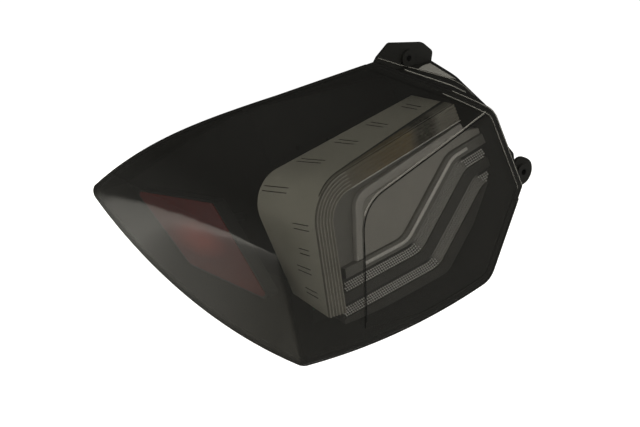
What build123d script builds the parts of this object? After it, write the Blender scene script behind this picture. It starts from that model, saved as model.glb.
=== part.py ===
"""Left-hand wrap-around car tail light: smoked lens, housing and the lamp modules inside.

Millimetres. +X runs inboard, +Y forwards, +Z up, so the rear face looks along -Y.
The origin is on the axis of the main locating pin, where the pin leaves its flange.
"""

from functools import lru_cache
from math import cos, radians, sin
import os

from build123d import *

# where the lens's lower outer corner lies, measured from the main locating pin
pin_across = 110.0
pin_up = 46.0
pin_base_forward = 116.0

# lens outline from behind the car: points across and up from the lower outer corner
low_inner_across = 229.0
low_inner_up = 33.0
low_edge_sag = 9.5
point_across = 284.0
point_up = 118.0
top_inner_across = 260.0
top_inner_up = 199.0
top_slope = 0.618
low_inner_radius = 28.0
point_radius = 5.0
top_inner_radius = 22.0

# lens outline from the side: forward tip and the cut along the wing panel
tip_forward = 308.0
tip_up = 99.5
tip_radius = 9.0
underside_sag = 27.0
wing_slope = 0.77
wing_sag = 4.0
wing_bend = 110.0

# skin of the lens: flat-ish side, deck and rear face blended round a fan axis
fan_across = 330.0
fan_down = 60.0
side_flare = 0.12
deck_height = 156.0
deck_cross_rise = 0.25
deck_fall = 0.17
rear_sweep = 0.12
rear_lean = 0.22
shoulder_power = 9.0
soft_edge_radius = 55.0
sharp_edge_radius = 3.0
skin_length = 340.0

# walls and fits
lens_wall = 3.0
pane_height = 1.6
pane_border = 9.0
lens_clearance = 1.9
rebate_width = 7.0
rebate_depth = 1.2
seal_height = 1.2
seal_width = 2.0
house_wall = 2.8
liner_wall = 2.0
fit_gap = 0.3

# back of the housing: a leaning back wall and the inner wall of the side arm
back_depth = 88.0
back_lean = 0.45
arm_root_across = 100.0
arm_root_forward = 120.0
arm_end_across = 12.0
arm_end_forward = 295.0

# depths of the modules behind the rear face
guide_depth = 18.0
guide_flange = 4.0
pipe_depth = 26.0
pipe_height = 8.0
panel_depth = 30.0
panel_wall = 2.5
channel_wall = 2.0
ridge_depth = 27.0
ridge_drop = 6.0
groove_depth = 11.0
carrier_depth = 60.0
carrier_wall = 2.5
silver_depth = 88.0
silver_wall = 2.5
ledge_width = 1.8

# the C that the guide follows, on the rear face
c_foot_across = 47.5
c_foot_up = 34.0
c_knee_across = 43.5
c_knee_up = 159.5
c_end_back = 40.0
c_end_up = 214.5
c_radius = 50.0
guide_width = 19.0
guide_blade = 3.0
rib_width = 1.5
rib_height = 1.0
rib_count = 6
silver_knee_flare = 31.5
silver_radius = 36.0

# the light pipe inside the C
pipe_foot_across = 88.0
pipe_foot_up = 56.0
pipe_knee_across = 96.5
pipe_knee_up = 144.7
pipe_end_back = 28.0
pipe_end_up = 193.0
pipe_radius = 22.0
pipe_width = 9.0

# the S ridge and the reflex bands below it
s_start_across = 76.0
s_low_across = 148.0
s_low_up = 91.5
s_low_slope = 0.225
s_high_across = 213.0
s_high_up = 164.0
s_end_up = 185.0
s_radius = 26.0
band_pitch = 21.0
band_shift = 1.15
ridge_width = 8.0
reflex_wall = 3.0
band_names = ("upper", "middle", "lower")

# side marker, measured forward and up on a plane inside the side of the lens
marker_depth = 4.0
marker_lean = 0.14
marker_wall = 3.0
marker_tray_depth = 14.0
marker_tip_forward = 256.0
marker_tip_up = 109.0
marker_top_forward = 144.0
marker_top_up = 124.0
marker_rear_forward = 57.0
marker_rear_up = 50.0
marker_low_forward = 168.0
marker_low_up = 55.0
marker_radius = 3.0
tray_wall = 2.0
tray_post_radius = 4.0

# boards and LEDs
board_wall = 1.6
led_size = 3.5
led_height = 1.2
guide_led_count = 8
stop_led_count = 6
marker_led_count = 4
driver_width = 70.0
driver_height = 42.0
chip_size = 9.0
chip_height = 3.0

# screws that hold the carrier plate on its bosses
boss_radius = 6.0
screw_radius = 2.0
screw_length = 12.0
screw_head_radius = 4.5
screw_head_height = 3.0

# flange beside the boot gutter, with its two fixing ears
flange_wall = 3.5
flange_low_forward = 18.0
flange_shelf_forward = 42.0
flange_top_forward = 150.0
ear_low_across = 306.5
ear_low_up = 121.0
ear_high_across = 264.0
ear_high_up = 222.0
ear_radius = 15.0
ear_bore_radius = 3.3
bushing_radius = 5.0
bushing_length = 9.0
ear_boss_radius = 9.0

# locating pins
pin_radius = 4.0
pin_length = 16.0
pin_flange_radius = 8.0
pin_flange_height = 2.0
pin_boss_radius = 10.0
pin_shank_radius = 3.0
pin_shank_length = 8.0
side_pin_across = 46.0
side_pin_up = 92.0
side_pin_base_forward = 244.0

# connector, its pad, the foam gasket and the vents on the back wall
pad_across = 190.0
pad_up = 98.0
pad_width = 66.0
pad_height = 50.0
pad_forward = 146.0
pad_wall = 3.0
gasket_width = 8.0
gasket_height = 6.0
socket_width = 30.0
socket_height = 17.0
socket_length = 18.0
socket_wall = 2.0
socket_flange = 4.0
socket_flange_height = 2.0
terminal_count = 4
terminal_pitch = 6.0
terminal_width = 2.8
terminal_wall = 0.8
terminal_length = 8.0
vent_across = 118.0
vent_spacing = 40.0
vent_up = 166.0
vent_radius = 7.0
vent_height = 6.0
vent_spigot_radius = 2.4

far = 500.0
corner = Vector(-pin_across, -pin_base_forward - pin_flange_height, -pin_up)
rear_view = Plane(origin=corner, x_dir=(1, 0, 0), z_dir=(0, -1, 0))
side_view = Plane(origin=corner, x_dir=(0, 1, 0), z_dir=(1, 0, 0))
plan_view = Plane(origin=corner, x_dir=(1, 0, 0), z_dir=(0, 0, 1))
rear_face = Plane(origin=corner, x_dir=(1, -rear_sweep, 0), z_dir=(-rear_sweep, -1, rear_lean))
back_face = Plane(
    origin=corner + Vector(0, back_depth, 0), x_dir=(-1, 0, 0), z_dir=(0, 1, -back_lean)
)


def reach(angle, forward):
    """Distance of the skin from the fan axis at one fan angle and forward position."""
    side = max(0.0, -cos(angle)) / (fan_across + side_flare * forward)
    deck_from_axis = deck_height + deck_cross_rise * fan_across + fan_down + deck_fall * forward
    deck = max(0.0, sin(angle) - deck_cross_rise * cos(angle)) / deck_from_axis
    return (side**shoulder_power + deck**shoulder_power) ** (-1 / shoulder_power)


def edge_radius(degrees):
    """Rounding between rear face and deck or side: soft on top, sharp at the lower corner."""
    turn = min(1.0, max(0.0, (degrees - 95) / 80))
    return max(sharp_edge_radius, soft_edge_radius * (1 - turn**1.9))


@lru_cache
def skin(inset):
    """Body under the lens skin, drawn in by inset, as sections fanned round one axis."""
    with BuildPart() as body:
        for degrees in range(88, 193, 8):
            angle = radians(degrees)
            fan = Plane(
                origin=corner + Vector(fan_across, 0, -fan_down),
                x_dir=(cos(angle), 0, sin(angle)),
                z_dir=(-sin(angle), 0, cos(angle)),
            )
            near = reach(angle, 0) - inset
            grow = (reach(angle, skin_length) - inset - near) / skin_length
            slope = rear_lean * sin(angle) - rear_sweep * cos(angle)
            start = inset - rear_sweep * fan_across - rear_lean * fan_down
            edge_forward = (start + slope * near) / (1 - slope * grow)
            edge = (near + grow * edge_forward, edge_forward)
            with BuildSketch(fan):
                with BuildLine():
                    FilletPolyline(
                        (25, start + slope * 25),
                        edge,
                        (near + grow * skin_length, skin_length),
                        (25, skin_length),
                        radius=(0, max(1.0, edge_radius(degrees) - inset), 0, 0),
                        close=True,
                    )
                make_face()
        loft()
    return body.part


def rear_outline(inset):
    """Lens outline from behind the car, drawn in by inset."""
    low_inner = (low_inner_across, low_inner_up)
    point = (point_across, point_up)
    top_inner = (top_inner_across, top_inner_up)
    with BuildSketch(rear_view) as outline:
        with BuildLine():
            SagittaArc((0, 0), low_inner, -low_edge_sag)
            Polyline(
                low_inner,
                point,
                top_inner,
                (-100, top_inner_up + top_slope * (top_inner_across + 100)),
                (-100, -14),
                (0, 0),
            )
        make_face()
        for spot, radius in (
            (low_inner, low_inner_radius),
            (point, point_radius),
            (top_inner, top_inner_radius),
        ):
            fillet(outline.vertices().sort_by_distance(spot)[0], radius)
        if inset:
            offset(amount=-inset, kind=Kind.INTERSECTION)
    return outline.sketch


def side_outline(inset):
    """Lens outline from the side of the car, drawn in by inset."""
    with BuildSketch(side_view) as outline:
        with BuildLine():
            SagittaArc((0, 0), (tip_forward, tip_up), -underside_sag)
            wing_end = tip_up + 240
            wing_corner = (tip_forward - wing_bend / wing_slope, tip_up + wing_bend)
            SagittaArc((tip_forward, tip_up), wing_corner, -wing_sag)
            Polyline(
                wing_corner,
                (tip_forward - 240 / wing_slope, wing_end),
                (-150, wing_end),
                (-150, -20),
                (0, 0),
            )
        make_face()
        fillet(outline.vertices().group_by(Axis.X)[-1], tip_radius)
        if inset:
            offset(amount=-inset, kind=Kind.INTERSECTION)
    return outline.sketch


@lru_cache
def shut(inset):
    """Everything inside the shut lines and the back of the lamp, drawn in by inset."""
    run = (arm_root_across - arm_end_across) / (arm_end_forward - arm_root_forward)
    with BuildPart() as behind:
        with BuildSketch(side_view):
            Polygon(
                (back_depth - 200 * back_lean, -200),
                (back_depth + 400 * back_lean, 400),
                (far, 400),
                (far, -200),
                align=None,
            )
            if inset:
                offset(amount=inset, kind=Kind.INTERSECTION)
        extrude(amount=far, both=True)
        with BuildSketch(plan_view):
            Polygon(
                (arm_root_across + run * 100, arm_root_forward - 100),
                (arm_end_across - run * 150, arm_end_forward + 150),
                (far, arm_end_forward + 150),
                (far, arm_root_forward - 100),
                align=None,
            )
            if inset:
                offset(amount=inset, kind=Kind.INTERSECTION)
        extrude(amount=far, both=True, mode=Mode.INTERSECT)
    with BuildPart() as body:
        extrude(rear_outline(inset), amount=far, dir=(0, 1, 0), both=True)
        extrude(side_outline(inset), amount=far, dir=(1, 0, 0), both=True, mode=Mode.INTERSECT)
        add(behind.part, mode=Mode.SUBTRACT)
    return body.part


@lru_cache
def room():
    """Space inside the bezel that the modules may fill."""
    with BuildPart() as space:
        add(skin(lens_wall + lens_clearance))
        add(shut(house_wall + liner_wall + 3 * fit_gap), mode=Mode.INTERSECT)
    return space.part


def parallel(path, gap):
    """Points of a three-point path moved sideways, to the right of its run."""
    foot, knee, end = (Vector(*point) for point in path)
    leg = (knee - foot).normalized()
    arm = (end - knee).normalized()
    leg_side = Vector(leg.Y, -leg.X)
    arm_side = Vector(arm.Y, -arm.X)
    knee_side = (leg_side + arm_side) / (1 + leg_side.dot(arm_side))
    return (foot + leg_side * gap, knee + knee_side * gap, end + arm_side * gap)


def c_band(plane, path, radius, near_gap, far_gap):
    """Flat band between two parallels of a C path, on the given plane."""
    with BuildSketch(plane) as band:
        with BuildLine():
            outer = FilletPolyline(*parallel(path, near_gap), radius=radius - near_gap)
            inner = FilletPolyline(*parallel(path, far_gap), radius=max(2.0, radius - far_gap))
            Line(outer @ 0, inner @ 0)
            Line(outer @ 1, inner @ 1)
        make_face()
    return band.sketch


def s_path(start, drop):
    """Points of the S ridge from its start across the rear face, lowered and moved inboard by drop."""
    shift = band_shift * drop
    return (
        (start, s_low_up - s_low_slope * (s_low_across + shift - start) - drop),
        (s_low_across + shift, s_low_up - drop),
        (s_high_across + shift, s_high_up - drop),
        (point_across + shift, s_end_up - drop),
    )


def s_band(plane, near_drop, far_drop, start=s_start_across):
    """Flat band between two lowered copies of the S ridge, on the given plane."""
    with BuildSketch(plane) as band:
        with BuildLine():
            outer = FilletPolyline(*s_path(start, near_drop), radius=s_radius)
            inner = FilletPolyline(*s_path(start, far_drop), radius=s_radius)
            Line(outer @ 0, inner @ 0)
            Line(outer @ 1, inner @ 1)
        make_face()
    return band.sketch


guide_path = (
    (c_foot_across, c_foot_up),
    (c_knee_across, c_knee_up),
    (top_inner_across - c_end_back, c_end_up),
)
silver_path = (
    (c_foot_across + 2, c_foot_up + 14),
    (c_knee_across - silver_knee_flare, c_knee_up + 6.5),
    (top_inner_across - c_end_back - 2, c_end_up + 6.5),
)
pipe_path = (
    (pipe_foot_across, pipe_foot_up),
    (pipe_knee_across, pipe_knee_up),
    (top_inner_across - pipe_end_back, pipe_end_up),
)
carrier_share = (carrier_depth - guide_depth - guide_flange) / (silver_depth - guide_depth - guide_flange)
carrier_radius = c_radius + (silver_radius - c_radius) * carrier_share
carrier_path = tuple(
    Vector(*front) + (Vector(*back) - Vector(*front)) * carrier_share
    for front, back in zip(guide_path, silver_path)
)
carrier_top = rear_face.offset(-carrier_depth)
board_top = rear_face.offset(board_wall - carrier_depth)
channel_start = guide_width + 2 * fit_gap
channel_outer = parallel(guide_path, channel_start + channel_wall)
channel_inner = parallel(pipe_path, pipe_width - channel_wall)
channel_knee = (channel_outer[1] + channel_inner[1]) / 2
boss_points = (
    channel_knee + ((channel_outer[0] + channel_inner[0]) / 2 - channel_knee) * 0.3,
    channel_knee + ((channel_outer[2] + channel_inner[2]) / 2 - channel_knee) * 0.72,
    Vector(point_across - 58, point_up - 25),
)
pad_plane = Plane(
    origin=corner + Vector(pad_across, pad_forward, pad_up), x_dir=(-1, 0, 0), z_dir=(0, 1, 0)
)
pin_planes = (
    Plane(
        origin=corner + Vector(pin_across, pin_base_forward, pin_up), x_dir=(-1, 0, 0), z_dir=(0, 1, 0)
    ),
    Plane(
        origin=corner + Vector(side_pin_across, side_pin_base_forward, side_pin_up),
        x_dir=(-1, 0, 0),
        z_dir=(0, 1, 0),
    ),
)
ear_planes = (
    Plane(
        origin=corner + Vector(ear_low_across, flange_low_forward, ear_low_up),
        x_dir=(1, 0, 0),
        z_dir=(0, -1, 0),
    ),
    Plane(
        origin=corner + Vector(ear_high_across, flange_top_forward, ear_high_up),
        x_dir=(1, 0, 0),
        z_dir=(0, -1, 0),
    ),
)

# outer lens: one shell with a raised pane on the rear face and a rebate along the boot side
with BuildPart() as pane:
    with BuildSketch(rear_face.offset(40)):
        with BuildLine():
            crease = FilletPolyline(
                (74, 20),
                (86, 139.5),
                (top_inner_across + 20, 216.5),
                radius=44,
            )
            Line(crease @ 1, (far, 217.5))
            Line((far, 217.5), (far, 20))
            Line((far, 20), crease @ 0)
        make_face()
    extrude(amount=-75)
    add(shut(pane_border), mode=Mode.INTERSECT)
    add(skin(-pane_height), mode=Mode.INTERSECT)

with BuildPart() as rebate:
    extrude(rear_outline(0), amount=far, dir=(0, 1, 0), both=True)
    extrude(rear_outline(rebate_width), amount=far, dir=(0, 1, 0), both=True, mode=Mode.SUBTRACT)
    with BuildSketch(rear_view):
        Polygon(
            (point_across + 40, point_up - 12),
            (point_across - 40, point_up - 12),
            (top_inner_across - 60, top_inner_up - 40),
            (-80, top_inner_up + 90),
            (-80, far),
            (far, far),
            align=None,
        )
    extrude(amount=far, both=True, mode=Mode.INTERSECT)
    add(skin(rebate_depth), mode=Mode.SUBTRACT)

with BuildPart() as outer_lens:
    add(skin(0.0))
    add(shut(0.0), mode=Mode.INTERSECT)
    add(rebate.part, mode=Mode.SUBTRACT)
    add(pane.part)
    add(skin(lens_wall), mode=Mode.SUBTRACT)

# soft seal between the lens's rim and the housing's rim
with BuildPart() as lens_seal:
    add(shut(fit_gap))
    add(shut(fit_gap + seal_width), mode=Mode.SUBTRACT)
    add(skin(lens_wall), mode=Mode.INTERSECT)
    add(skin(lens_wall + seal_height), mode=Mode.SUBTRACT)

# flange beside the boot gutter: low ear, sloping shelf, high ear
with BuildPart() as gutter_flange:
    with BuildSketch(side_view):
        with BuildLine():
            Polyline(
                (flange_low_forward, point_up - 50),
                (flange_low_forward, point_up + 12),
                (flange_shelf_forward, top_inner_up - 9),
                (flange_top_forward, top_inner_up + 12),
                (flange_top_forward, top_inner_up + 90),
            )
        trace(line_width=flange_wall)
    extrude(amount=far, both=True)
    with BuildSketch(rear_view):
        with BuildLine():
            FilletPolyline(
                (point_across - 40, point_up - 40),
                (point_across + 6, point_up - 20),
                (point_across + 14, point_up + 24),
                (top_inner_across + 22, top_inner_up - 34),
                (top_inner_across + 14, top_inner_up - 10),
                (top_inner_across + 38, top_inner_up + 6),
                (top_inner_across + 41, top_inner_up + 24),
                (top_inner_across + 26, top_inner_up + 36),
                (top_inner_across - 21.5, top_inner_up + 43.5),
                (top_inner_across - 37.5, top_inner_up + 31),
                (top_inner_across - 60, top_inner_up),
                radius=(2, 12, 4, 8, 4, 4, 6, 8, 6, 4, 2),
                close=True,
            )
        make_face()
        with Locations((ear_low_across, ear_low_up), (ear_high_across, ear_high_up)):
            Circle(ear_radius)
    extrude(amount=far, both=True, mode=Mode.INTERSECT)
    extrude(rear_outline(house_wall / 2), amount=far, dir=(0, 1, 0), both=True, mode=Mode.SUBTRACT)

# bosses for the carrier plate, inside the housing
with BuildPart() as module_bosses:
    with BuildSketch(rear_face.offset(-carrier_depth - carrier_wall)):
        with Locations(*boss_points):
            Circle(boss_radius)
    extrude(amount=-far)
    add(shut(house_wall / 2), mode=Mode.INTERSECT)

# housing: tub behind the lens, gutter flange, bosses, connector pad
with BuildPart() as rear_housing:
    add(shut(0.0))
    add(skin(lens_wall + seal_height), mode=Mode.INTERSECT)
    with BuildSketch(pad_plane):
        RectangleRounded(pad_width, pad_height, 6)
    extrude(amount=-45)
    for pin_plane in pin_planes:
        with BuildSketch(pin_plane):
            Circle(pin_boss_radius)
        extrude(amount=-45)
    add(shut(house_wall), mode=Mode.SUBTRACT)
    add(module_bosses.part)
    add(gutter_flange.part)
    for ear_plane in ear_planes:
        with BuildSketch(ear_plane.offset(bushing_length / 2)):
            Circle(ear_boss_radius)
        extrude(amount=-bushing_length)
        with BuildSketch(ear_plane.offset(bushing_length / 2)):
            Circle(bushing_radius)
        extrude(amount=-bushing_length, mode=Mode.SUBTRACT)
    with BuildSketch(pad_plane.offset(-pad_wall)):
        RectangleRounded(pad_width - 2 * pad_wall, pad_height - 2 * pad_wall, 4)
    extrude(amount=-30, mode=Mode.SUBTRACT)
    with BuildSketch(pad_plane):
        RectangleRounded(socket_width + 2 * fit_gap, socket_height + 2 * fit_gap, 2)
    extrude(amount=-pad_wall, mode=Mode.SUBTRACT)
    for pin_plane in pin_planes:
        with BuildSketch(pin_plane):
            Circle(pin_shank_radius)
        extrude(amount=-pin_shank_length, mode=Mode.SUBTRACT)
    with BuildSketch(rear_face.offset(-carrier_depth - carrier_wall)):
        with Locations(*boss_points):
            Circle(screw_radius)
    extrude(amount=-screw_length, mode=Mode.SUBTRACT)
    with BuildSketch(back_face):
        with Locations((-vent_across, vent_up), (-vent_across - vent_spacing, vent_up)):
            Circle(vent_spigot_radius + fit_gap)
    extrude(amount=-2 * house_wall, mode=Mode.SUBTRACT)

# bezel: dark liner that follows the housing's inside
with BuildPart() as inner_bezel:
    add(shut(house_wall + fit_gap))
    add(shut(house_wall + fit_gap + liner_wall), mode=Mode.SUBTRACT)
    add(skin(lens_wall + lens_clearance), mode=Mode.INTERSECT)
    with BuildSketch(rear_face.offset(-carrier_depth - carrier_wall)):
        with Locations(*boss_points):
            Circle(boss_radius + fit_gap)
    extrude(amount=-far, mode=Mode.SUBTRACT)
    with BuildSketch(pad_plane):
        Rectangle(socket_width, socket_height)
    extrude(amount=-60, mode=Mode.SUBTRACT)
    with BuildSketch(back_face):
        with Locations((-vent_across, vent_up), (-vent_across - vent_spacing, vent_up)):
            Circle(vent_spigot_radius + fit_gap)
    extrude(amount=-4 * house_wall, mode=Mode.SUBTRACT)

# carrier plate for the rear modules
with BuildPart() as carrier_plate:
    with BuildSketch(carrier_top):
        with BuildLine():
            edge = FilletPolyline(
                *parallel(carrier_path, silver_wall + 2 * fit_gap), radius=carrier_radius - silver_wall
            )
            Line(edge @ 1, (far, c_end_up))
            Line((far, c_end_up), (far, c_foot_up - 60))
            Line((far, c_foot_up - 60), ((edge @ 0).X, c_foot_up - 60))
            Line(((edge @ 0).X, c_foot_up - 60), edge @ 0)
        make_face()
        with Locations(*boss_points):
            Circle(screw_radius + fit_gap, mode=Mode.SUBTRACT)
    extrude(amount=-carrier_wall)
    add(room(), mode=Mode.INTERSECT)

with BuildPart() as module_screws:
    with BuildSketch(carrier_top):
        with Locations(*boss_points):
            Circle(screw_head_radius)
    extrude(amount=screw_head_height)
    with BuildSketch(carrier_top):
        with Locations(*boss_points):
            Circle(screw_radius)
    extrude(amount=-carrier_wall - screw_length + 1)

# silver C wall, flaring towards the back
flange_back = rear_face.offset(-guide_depth - guide_flange)
with BuildPart() as silver_reflector:
    front_edge = c_band(flange_back, guide_path, c_radius, 0, silver_wall)
    back_edge = c_band(rear_face.offset(-silver_depth), silver_path, silver_radius, 0, silver_wall)
    loft([front_edge, back_edge], ruled=True)
    extrude(
        c_band(carrier_top, carrier_path, carrier_radius, silver_wall / 2, silver_wall + ledge_width),
        amount=silver_wall,
    )

# ribbed light guide: ribbed flange on the silver wall's edge, blade back to the LEDs
blade_start = (guide_width - guide_blade) / 2
blade_length = carrier_depth - board_wall - led_height - fit_gap - guide_depth - guide_flange
with BuildPart() as ribbed_light_guide:
    extrude(c_band(flange_back, guide_path, c_radius, 0, guide_width), amount=guide_flange - rib_height)
    for rib in range(rib_count):
        rib_gap = (guide_width - rib_width) * rib / (rib_count - 1)
        rib_foot = rear_face.offset(-guide_depth - rib_height)
        extrude(c_band(rib_foot, guide_path, c_radius, rib_gap, rib_gap + rib_width), amount=rib_height)
    extrude(
        c_band(flange_back, guide_path, c_radius, blade_start, blade_start + guide_blade),
        amount=-blade_length,
    )

with BuildPart() as guide_led_board:
    extrude(
        c_band(carrier_top, guide_path, c_radius, guide_width / 2 - 3.5, guide_width / 2 + 3.5),
        amount=board_wall,
    )

guide_middle = parallel(guide_path, guide_width / 2)
leg_run = guide_middle[1] - guide_middle[0]
arm_run = guide_middle[2] - guide_middle[1]
with BuildPart() as guide_leds:
    for led in range(guide_led_count):
        share = led / (guide_led_count - 1)
        with BuildSketch(board_top):
            with Locations(guide_middle[0] + leg_run * (0.08 + 0.6 * share)):
                Rectangle(led_size, led_size)
            with Locations(guide_middle[1] + arm_run * (0.25 + 0.7 * share)):
                Rectangle(led_size, led_size)
        extrude(amount=led_height)

# everything below the S ridge, kept clear by the pieces above it
with BuildPart() as below_ridge:
    with BuildSketch(rear_face):
        with BuildLine():
            ridge_line = FilletPolyline(*s_path(0, -2 * fit_gap), radius=s_radius)
            Polyline(ridge_line @ 1, (point_across + far, s_end_up), (far, -far), (0, -far), ridge_line @ 0)
        make_face()
    extrude(amount=-carrier_depth)

# grey channel beside the guide: a shelf on two walls
shelf_plane = rear_face.offset(-pipe_depth - pipe_height)
channel_height = carrier_depth - pipe_depth - pipe_height
with BuildPart() as inner_reflector:
    with BuildSketch(shelf_plane):
        with BuildLine():
            shelf_edge = FilletPolyline(*parallel(guide_path, channel_start), radius=c_radius - guide_width)
            shelf_lip = FilletPolyline(
                *parallel(pipe_path, pipe_width + 2 * fit_gap), radius=pipe_radius - pipe_width
            )
            Line(shelf_edge @ 0, shelf_lip @ 0)
            Line(shelf_edge @ 1, shelf_lip @ 1)
        make_face()
    extrude(amount=-channel_wall)
    extrude(
        c_band(shelf_plane, guide_path, c_radius, channel_start, channel_start + channel_wall),
        amount=-channel_height,
    )
    extrude(
        c_band(shelf_plane, pipe_path, pipe_radius, pipe_width - channel_wall, pipe_width + 2 * fit_gap),
        amount=-channel_height,
    )
    add(below_ridge.part, mode=Mode.SUBTRACT)

# light pipe on the channel's shelf
with BuildPart() as light_pipe:
    extrude(c_band(shelf_plane, pipe_path, pipe_radius, 0, pipe_width), amount=pipe_height)
    add(below_ridge.part, mode=Mode.SUBTRACT)

# centre panel with a skirt down to the carrier
panel_top = rear_face.offset(-panel_depth)
panel_points = parallel(pipe_path, pipe_width + 4 * fit_gap)
skirt_points = parallel(pipe_path, pipe_width + 4 * fit_gap + panel_wall)
with BuildPart() as centre_panel:
    with BuildSketch(panel_top):
        with BuildLine():
            panel_edge = FilletPolyline(*panel_points, radius=pipe_radius - pipe_width)
            Polyline(panel_edge @ 1, (point_across, s_end_up), (point_across, 0), panel_edge @ 0)
        make_face()
    extrude(amount=panel_depth - carrier_depth)
    with BuildSketch(panel_top.offset(-panel_wall)):
        with BuildLine():
            skirt_edge = FilletPolyline(*skirt_points, radius=pipe_radius - pipe_width)
            Polyline(skirt_edge @ 1, (point_across, s_end_up - 8), (point_across, 0), skirt_edge @ 0)
        make_face()
    extrude(amount=panel_depth + panel_wall - carrier_depth, mode=Mode.SUBTRACT)
    extrude(s_band(panel_top, -2 * fit_gap - panel_wall, 0, start=0), amount=panel_depth - carrier_depth)
    add(below_ridge.part, mode=Mode.SUBTRACT)
    with BuildSketch(rear_face):
        with BuildLine():
            Polyline(panel_points[0], panel_points[1], panel_points[2], (far, s_end_up), (far, 0), close=True)
        make_face()
    extrude(amount=-carrier_depth, mode=Mode.INTERSECT)
    add(room(), mode=Mode.INTERSECT)

board_points = parallel(pipe_path, pipe_width + 9)
with BuildPart() as stop_led_board:
    with BuildSketch(carrier_top):
        Polygon(
            (board_points[0].X + 4, s_low_up),
            board_points[1],
            (s_high_across - 24, s_high_up - 10),
            (s_high_across - 26, s_high_up - 16),
            (s_low_across - 6, s_low_up + 10),
            align=None,
        )
    extrude(amount=board_wall)
with BuildPart() as stop_leds:
    for led in range(stop_led_count):
        share = led / (stop_led_count - 1)
        with BuildSketch(board_top):
            with Locations((pipe_knee_across + 20 + 58 * share, s_low_up + 18 + 34 * share)):
                Rectangle(led_size, led_size)
        extrude(amount=led_height)

# wave reflector: ridges standing on the carrier, with sunk floors between them
with BuildPart() as wave_reflector:
    for band in range(len(band_names)):
        ridge_top = rear_face.offset(-ridge_depth - ridge_drop * band)
        floor_top = rear_face.offset(-ridge_depth - ridge_drop * band - groove_depth)
        ridge_start = band * band_pitch
        extrude(
            s_band(ridge_top, ridge_start, ridge_start + ridge_width),
            amount=ridge_depth + ridge_drop * band - carrier_depth,
        )
        extrude(s_band(floor_top, ridge_start + ridge_width, ridge_start + band_pitch), amount=-panel_wall)
    add(room(), mode=Mode.INTERSECT)

reflex_bands = []
for band in range(len(band_names)):
    floor_top = rear_face.offset(-ridge_depth - ridge_drop * band - groove_depth)
    with BuildPart() as reflex_band:
        extrude(
            s_band(
                floor_top,
                band * band_pitch + ridge_width + fit_gap,
                (band + 1) * band_pitch - fit_gap,
            ),
            amount=reflex_wall,
        )
        add(room(), mode=Mode.INTERSECT)
    reflex_bands.append(reflex_band.part)

# side marker: red reflector in a tray that stands on the arm's inner wall
marker_face = Plane(
    origin=corner, x_dir=(side_flare, -1, 0), z_dir=(-1, -side_flare, marker_lean)
)
marker_plane = marker_face.offset(-marker_depth)
with BuildSketch(marker_plane) as marker_shape:
    with BuildLine():
        FilletPolyline(
            (-marker_tip_forward, marker_tip_up),
            (-marker_top_forward, marker_top_up),
            (-marker_rear_forward, marker_rear_up),
            (-marker_low_forward, marker_low_up),
            radius=marker_radius,
            close=True,
        )
    make_face()
with BuildPart() as marker_reflex:
    extrude(marker_shape.sketch, amount=-marker_wall)

with BuildPart() as marker_tray:
    with BuildSketch(marker_plane.offset(-1)):
        add(offset(marker_shape.sketch_local, amount=fit_gap + tray_wall, mode=Mode.PRIVATE))
    extrude(amount=1 - marker_wall - marker_tray_depth)
    with BuildSketch(marker_plane.offset(-1)):
        add(offset(marker_shape.sketch_local, amount=fit_gap, mode=Mode.PRIVATE))
    extrude(amount=1 - marker_wall, mode=Mode.SUBTRACT)
    with BuildSketch(marker_plane.offset(-marker_wall)):
        add(offset(marker_shape.sketch_local, amount=-tray_wall, mode=Mode.PRIVATE))
    extrude(amount=tray_wall - marker_tray_depth, mode=Mode.SUBTRACT)
    with BuildSketch(marker_plane.offset(-marker_wall - marker_tray_depth)):
        with Locations(
            (-marker_low_forward, marker_tip_up - 14),
            (-marker_low_forward - 34, marker_tip_up - 8),
        ):
            Circle(tray_post_radius)
    extrude(amount=-120)
    add(room(), mode=Mode.INTERSECT)

tray_floor = marker_plane.offset(tray_wall - marker_wall - marker_tray_depth)
marker_middle = (marker_top_forward + marker_low_forward) / 2
marker_led_gap = (marker_tip_forward - marker_rear_forward) / (marker_led_count + 4)
with BuildPart() as marker_led_board:
    with BuildSketch(tray_floor):
        with Locations((-marker_middle, (marker_top_up + marker_low_up) / 2 - 2)):
            Rectangle(marker_led_gap * (marker_led_count - 0.4), 2 * led_size)
    extrude(amount=board_wall)
with BuildPart() as marker_leds:
    with BuildSketch(tray_floor.offset(board_wall)):
        with Locations((-marker_middle, (marker_top_up + marker_low_up) / 2 - 2)):
            with GridLocations(marker_led_gap, 1, marker_led_count, 1):
                Rectangle(led_size, led_size)
    extrude(amount=led_height)

# driver board on the back of the carrier
driver_top = rear_face.offset(-carrier_depth - carrier_wall)
with BuildPart() as driver_board:
    with BuildSketch(driver_top):
        with Locations((s_low_across, s_low_up + 36)):
            Rectangle(driver_width, driver_height)
    extrude(amount=-board_wall)
with BuildPart() as driver_chips:
    with BuildSketch(driver_top.offset(-board_wall)):
        with Locations((s_low_across, s_low_up + 36)):
            with GridLocations(driver_width / 3, driver_height / 2, 3, 2):
                Rectangle(chip_size, chip_size)
    extrude(amount=-chip_height)

# fixings and fittings on the housing
with BuildPart() as ear_bushings:
    for ear_plane in ear_planes:
        with BuildSketch(ear_plane.offset(bushing_length / 2)):
            Circle(bushing_radius)
            Circle(ear_bore_radius, mode=Mode.SUBTRACT)
        extrude(amount=-bushing_length)

pins = []
for pin_plane in pin_planes:
    with BuildPart() as pin:
        with BuildSketch(pin_plane):
            Circle(pin_flange_radius)
        extrude(amount=pin_flange_height)
        with BuildSketch(pin_plane):
            Circle(pin_shank_radius)
        extrude(amount=-pin_shank_length)
        with BuildSketch(pin_plane.offset(pin_flange_height)):
            Circle(pin_radius)
        extrude(amount=pin_length)
        chamfer(pin.edges().sort_by(Axis.Y)[-1], pin_radius / 3)
    pins.append(pin.part)

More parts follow.
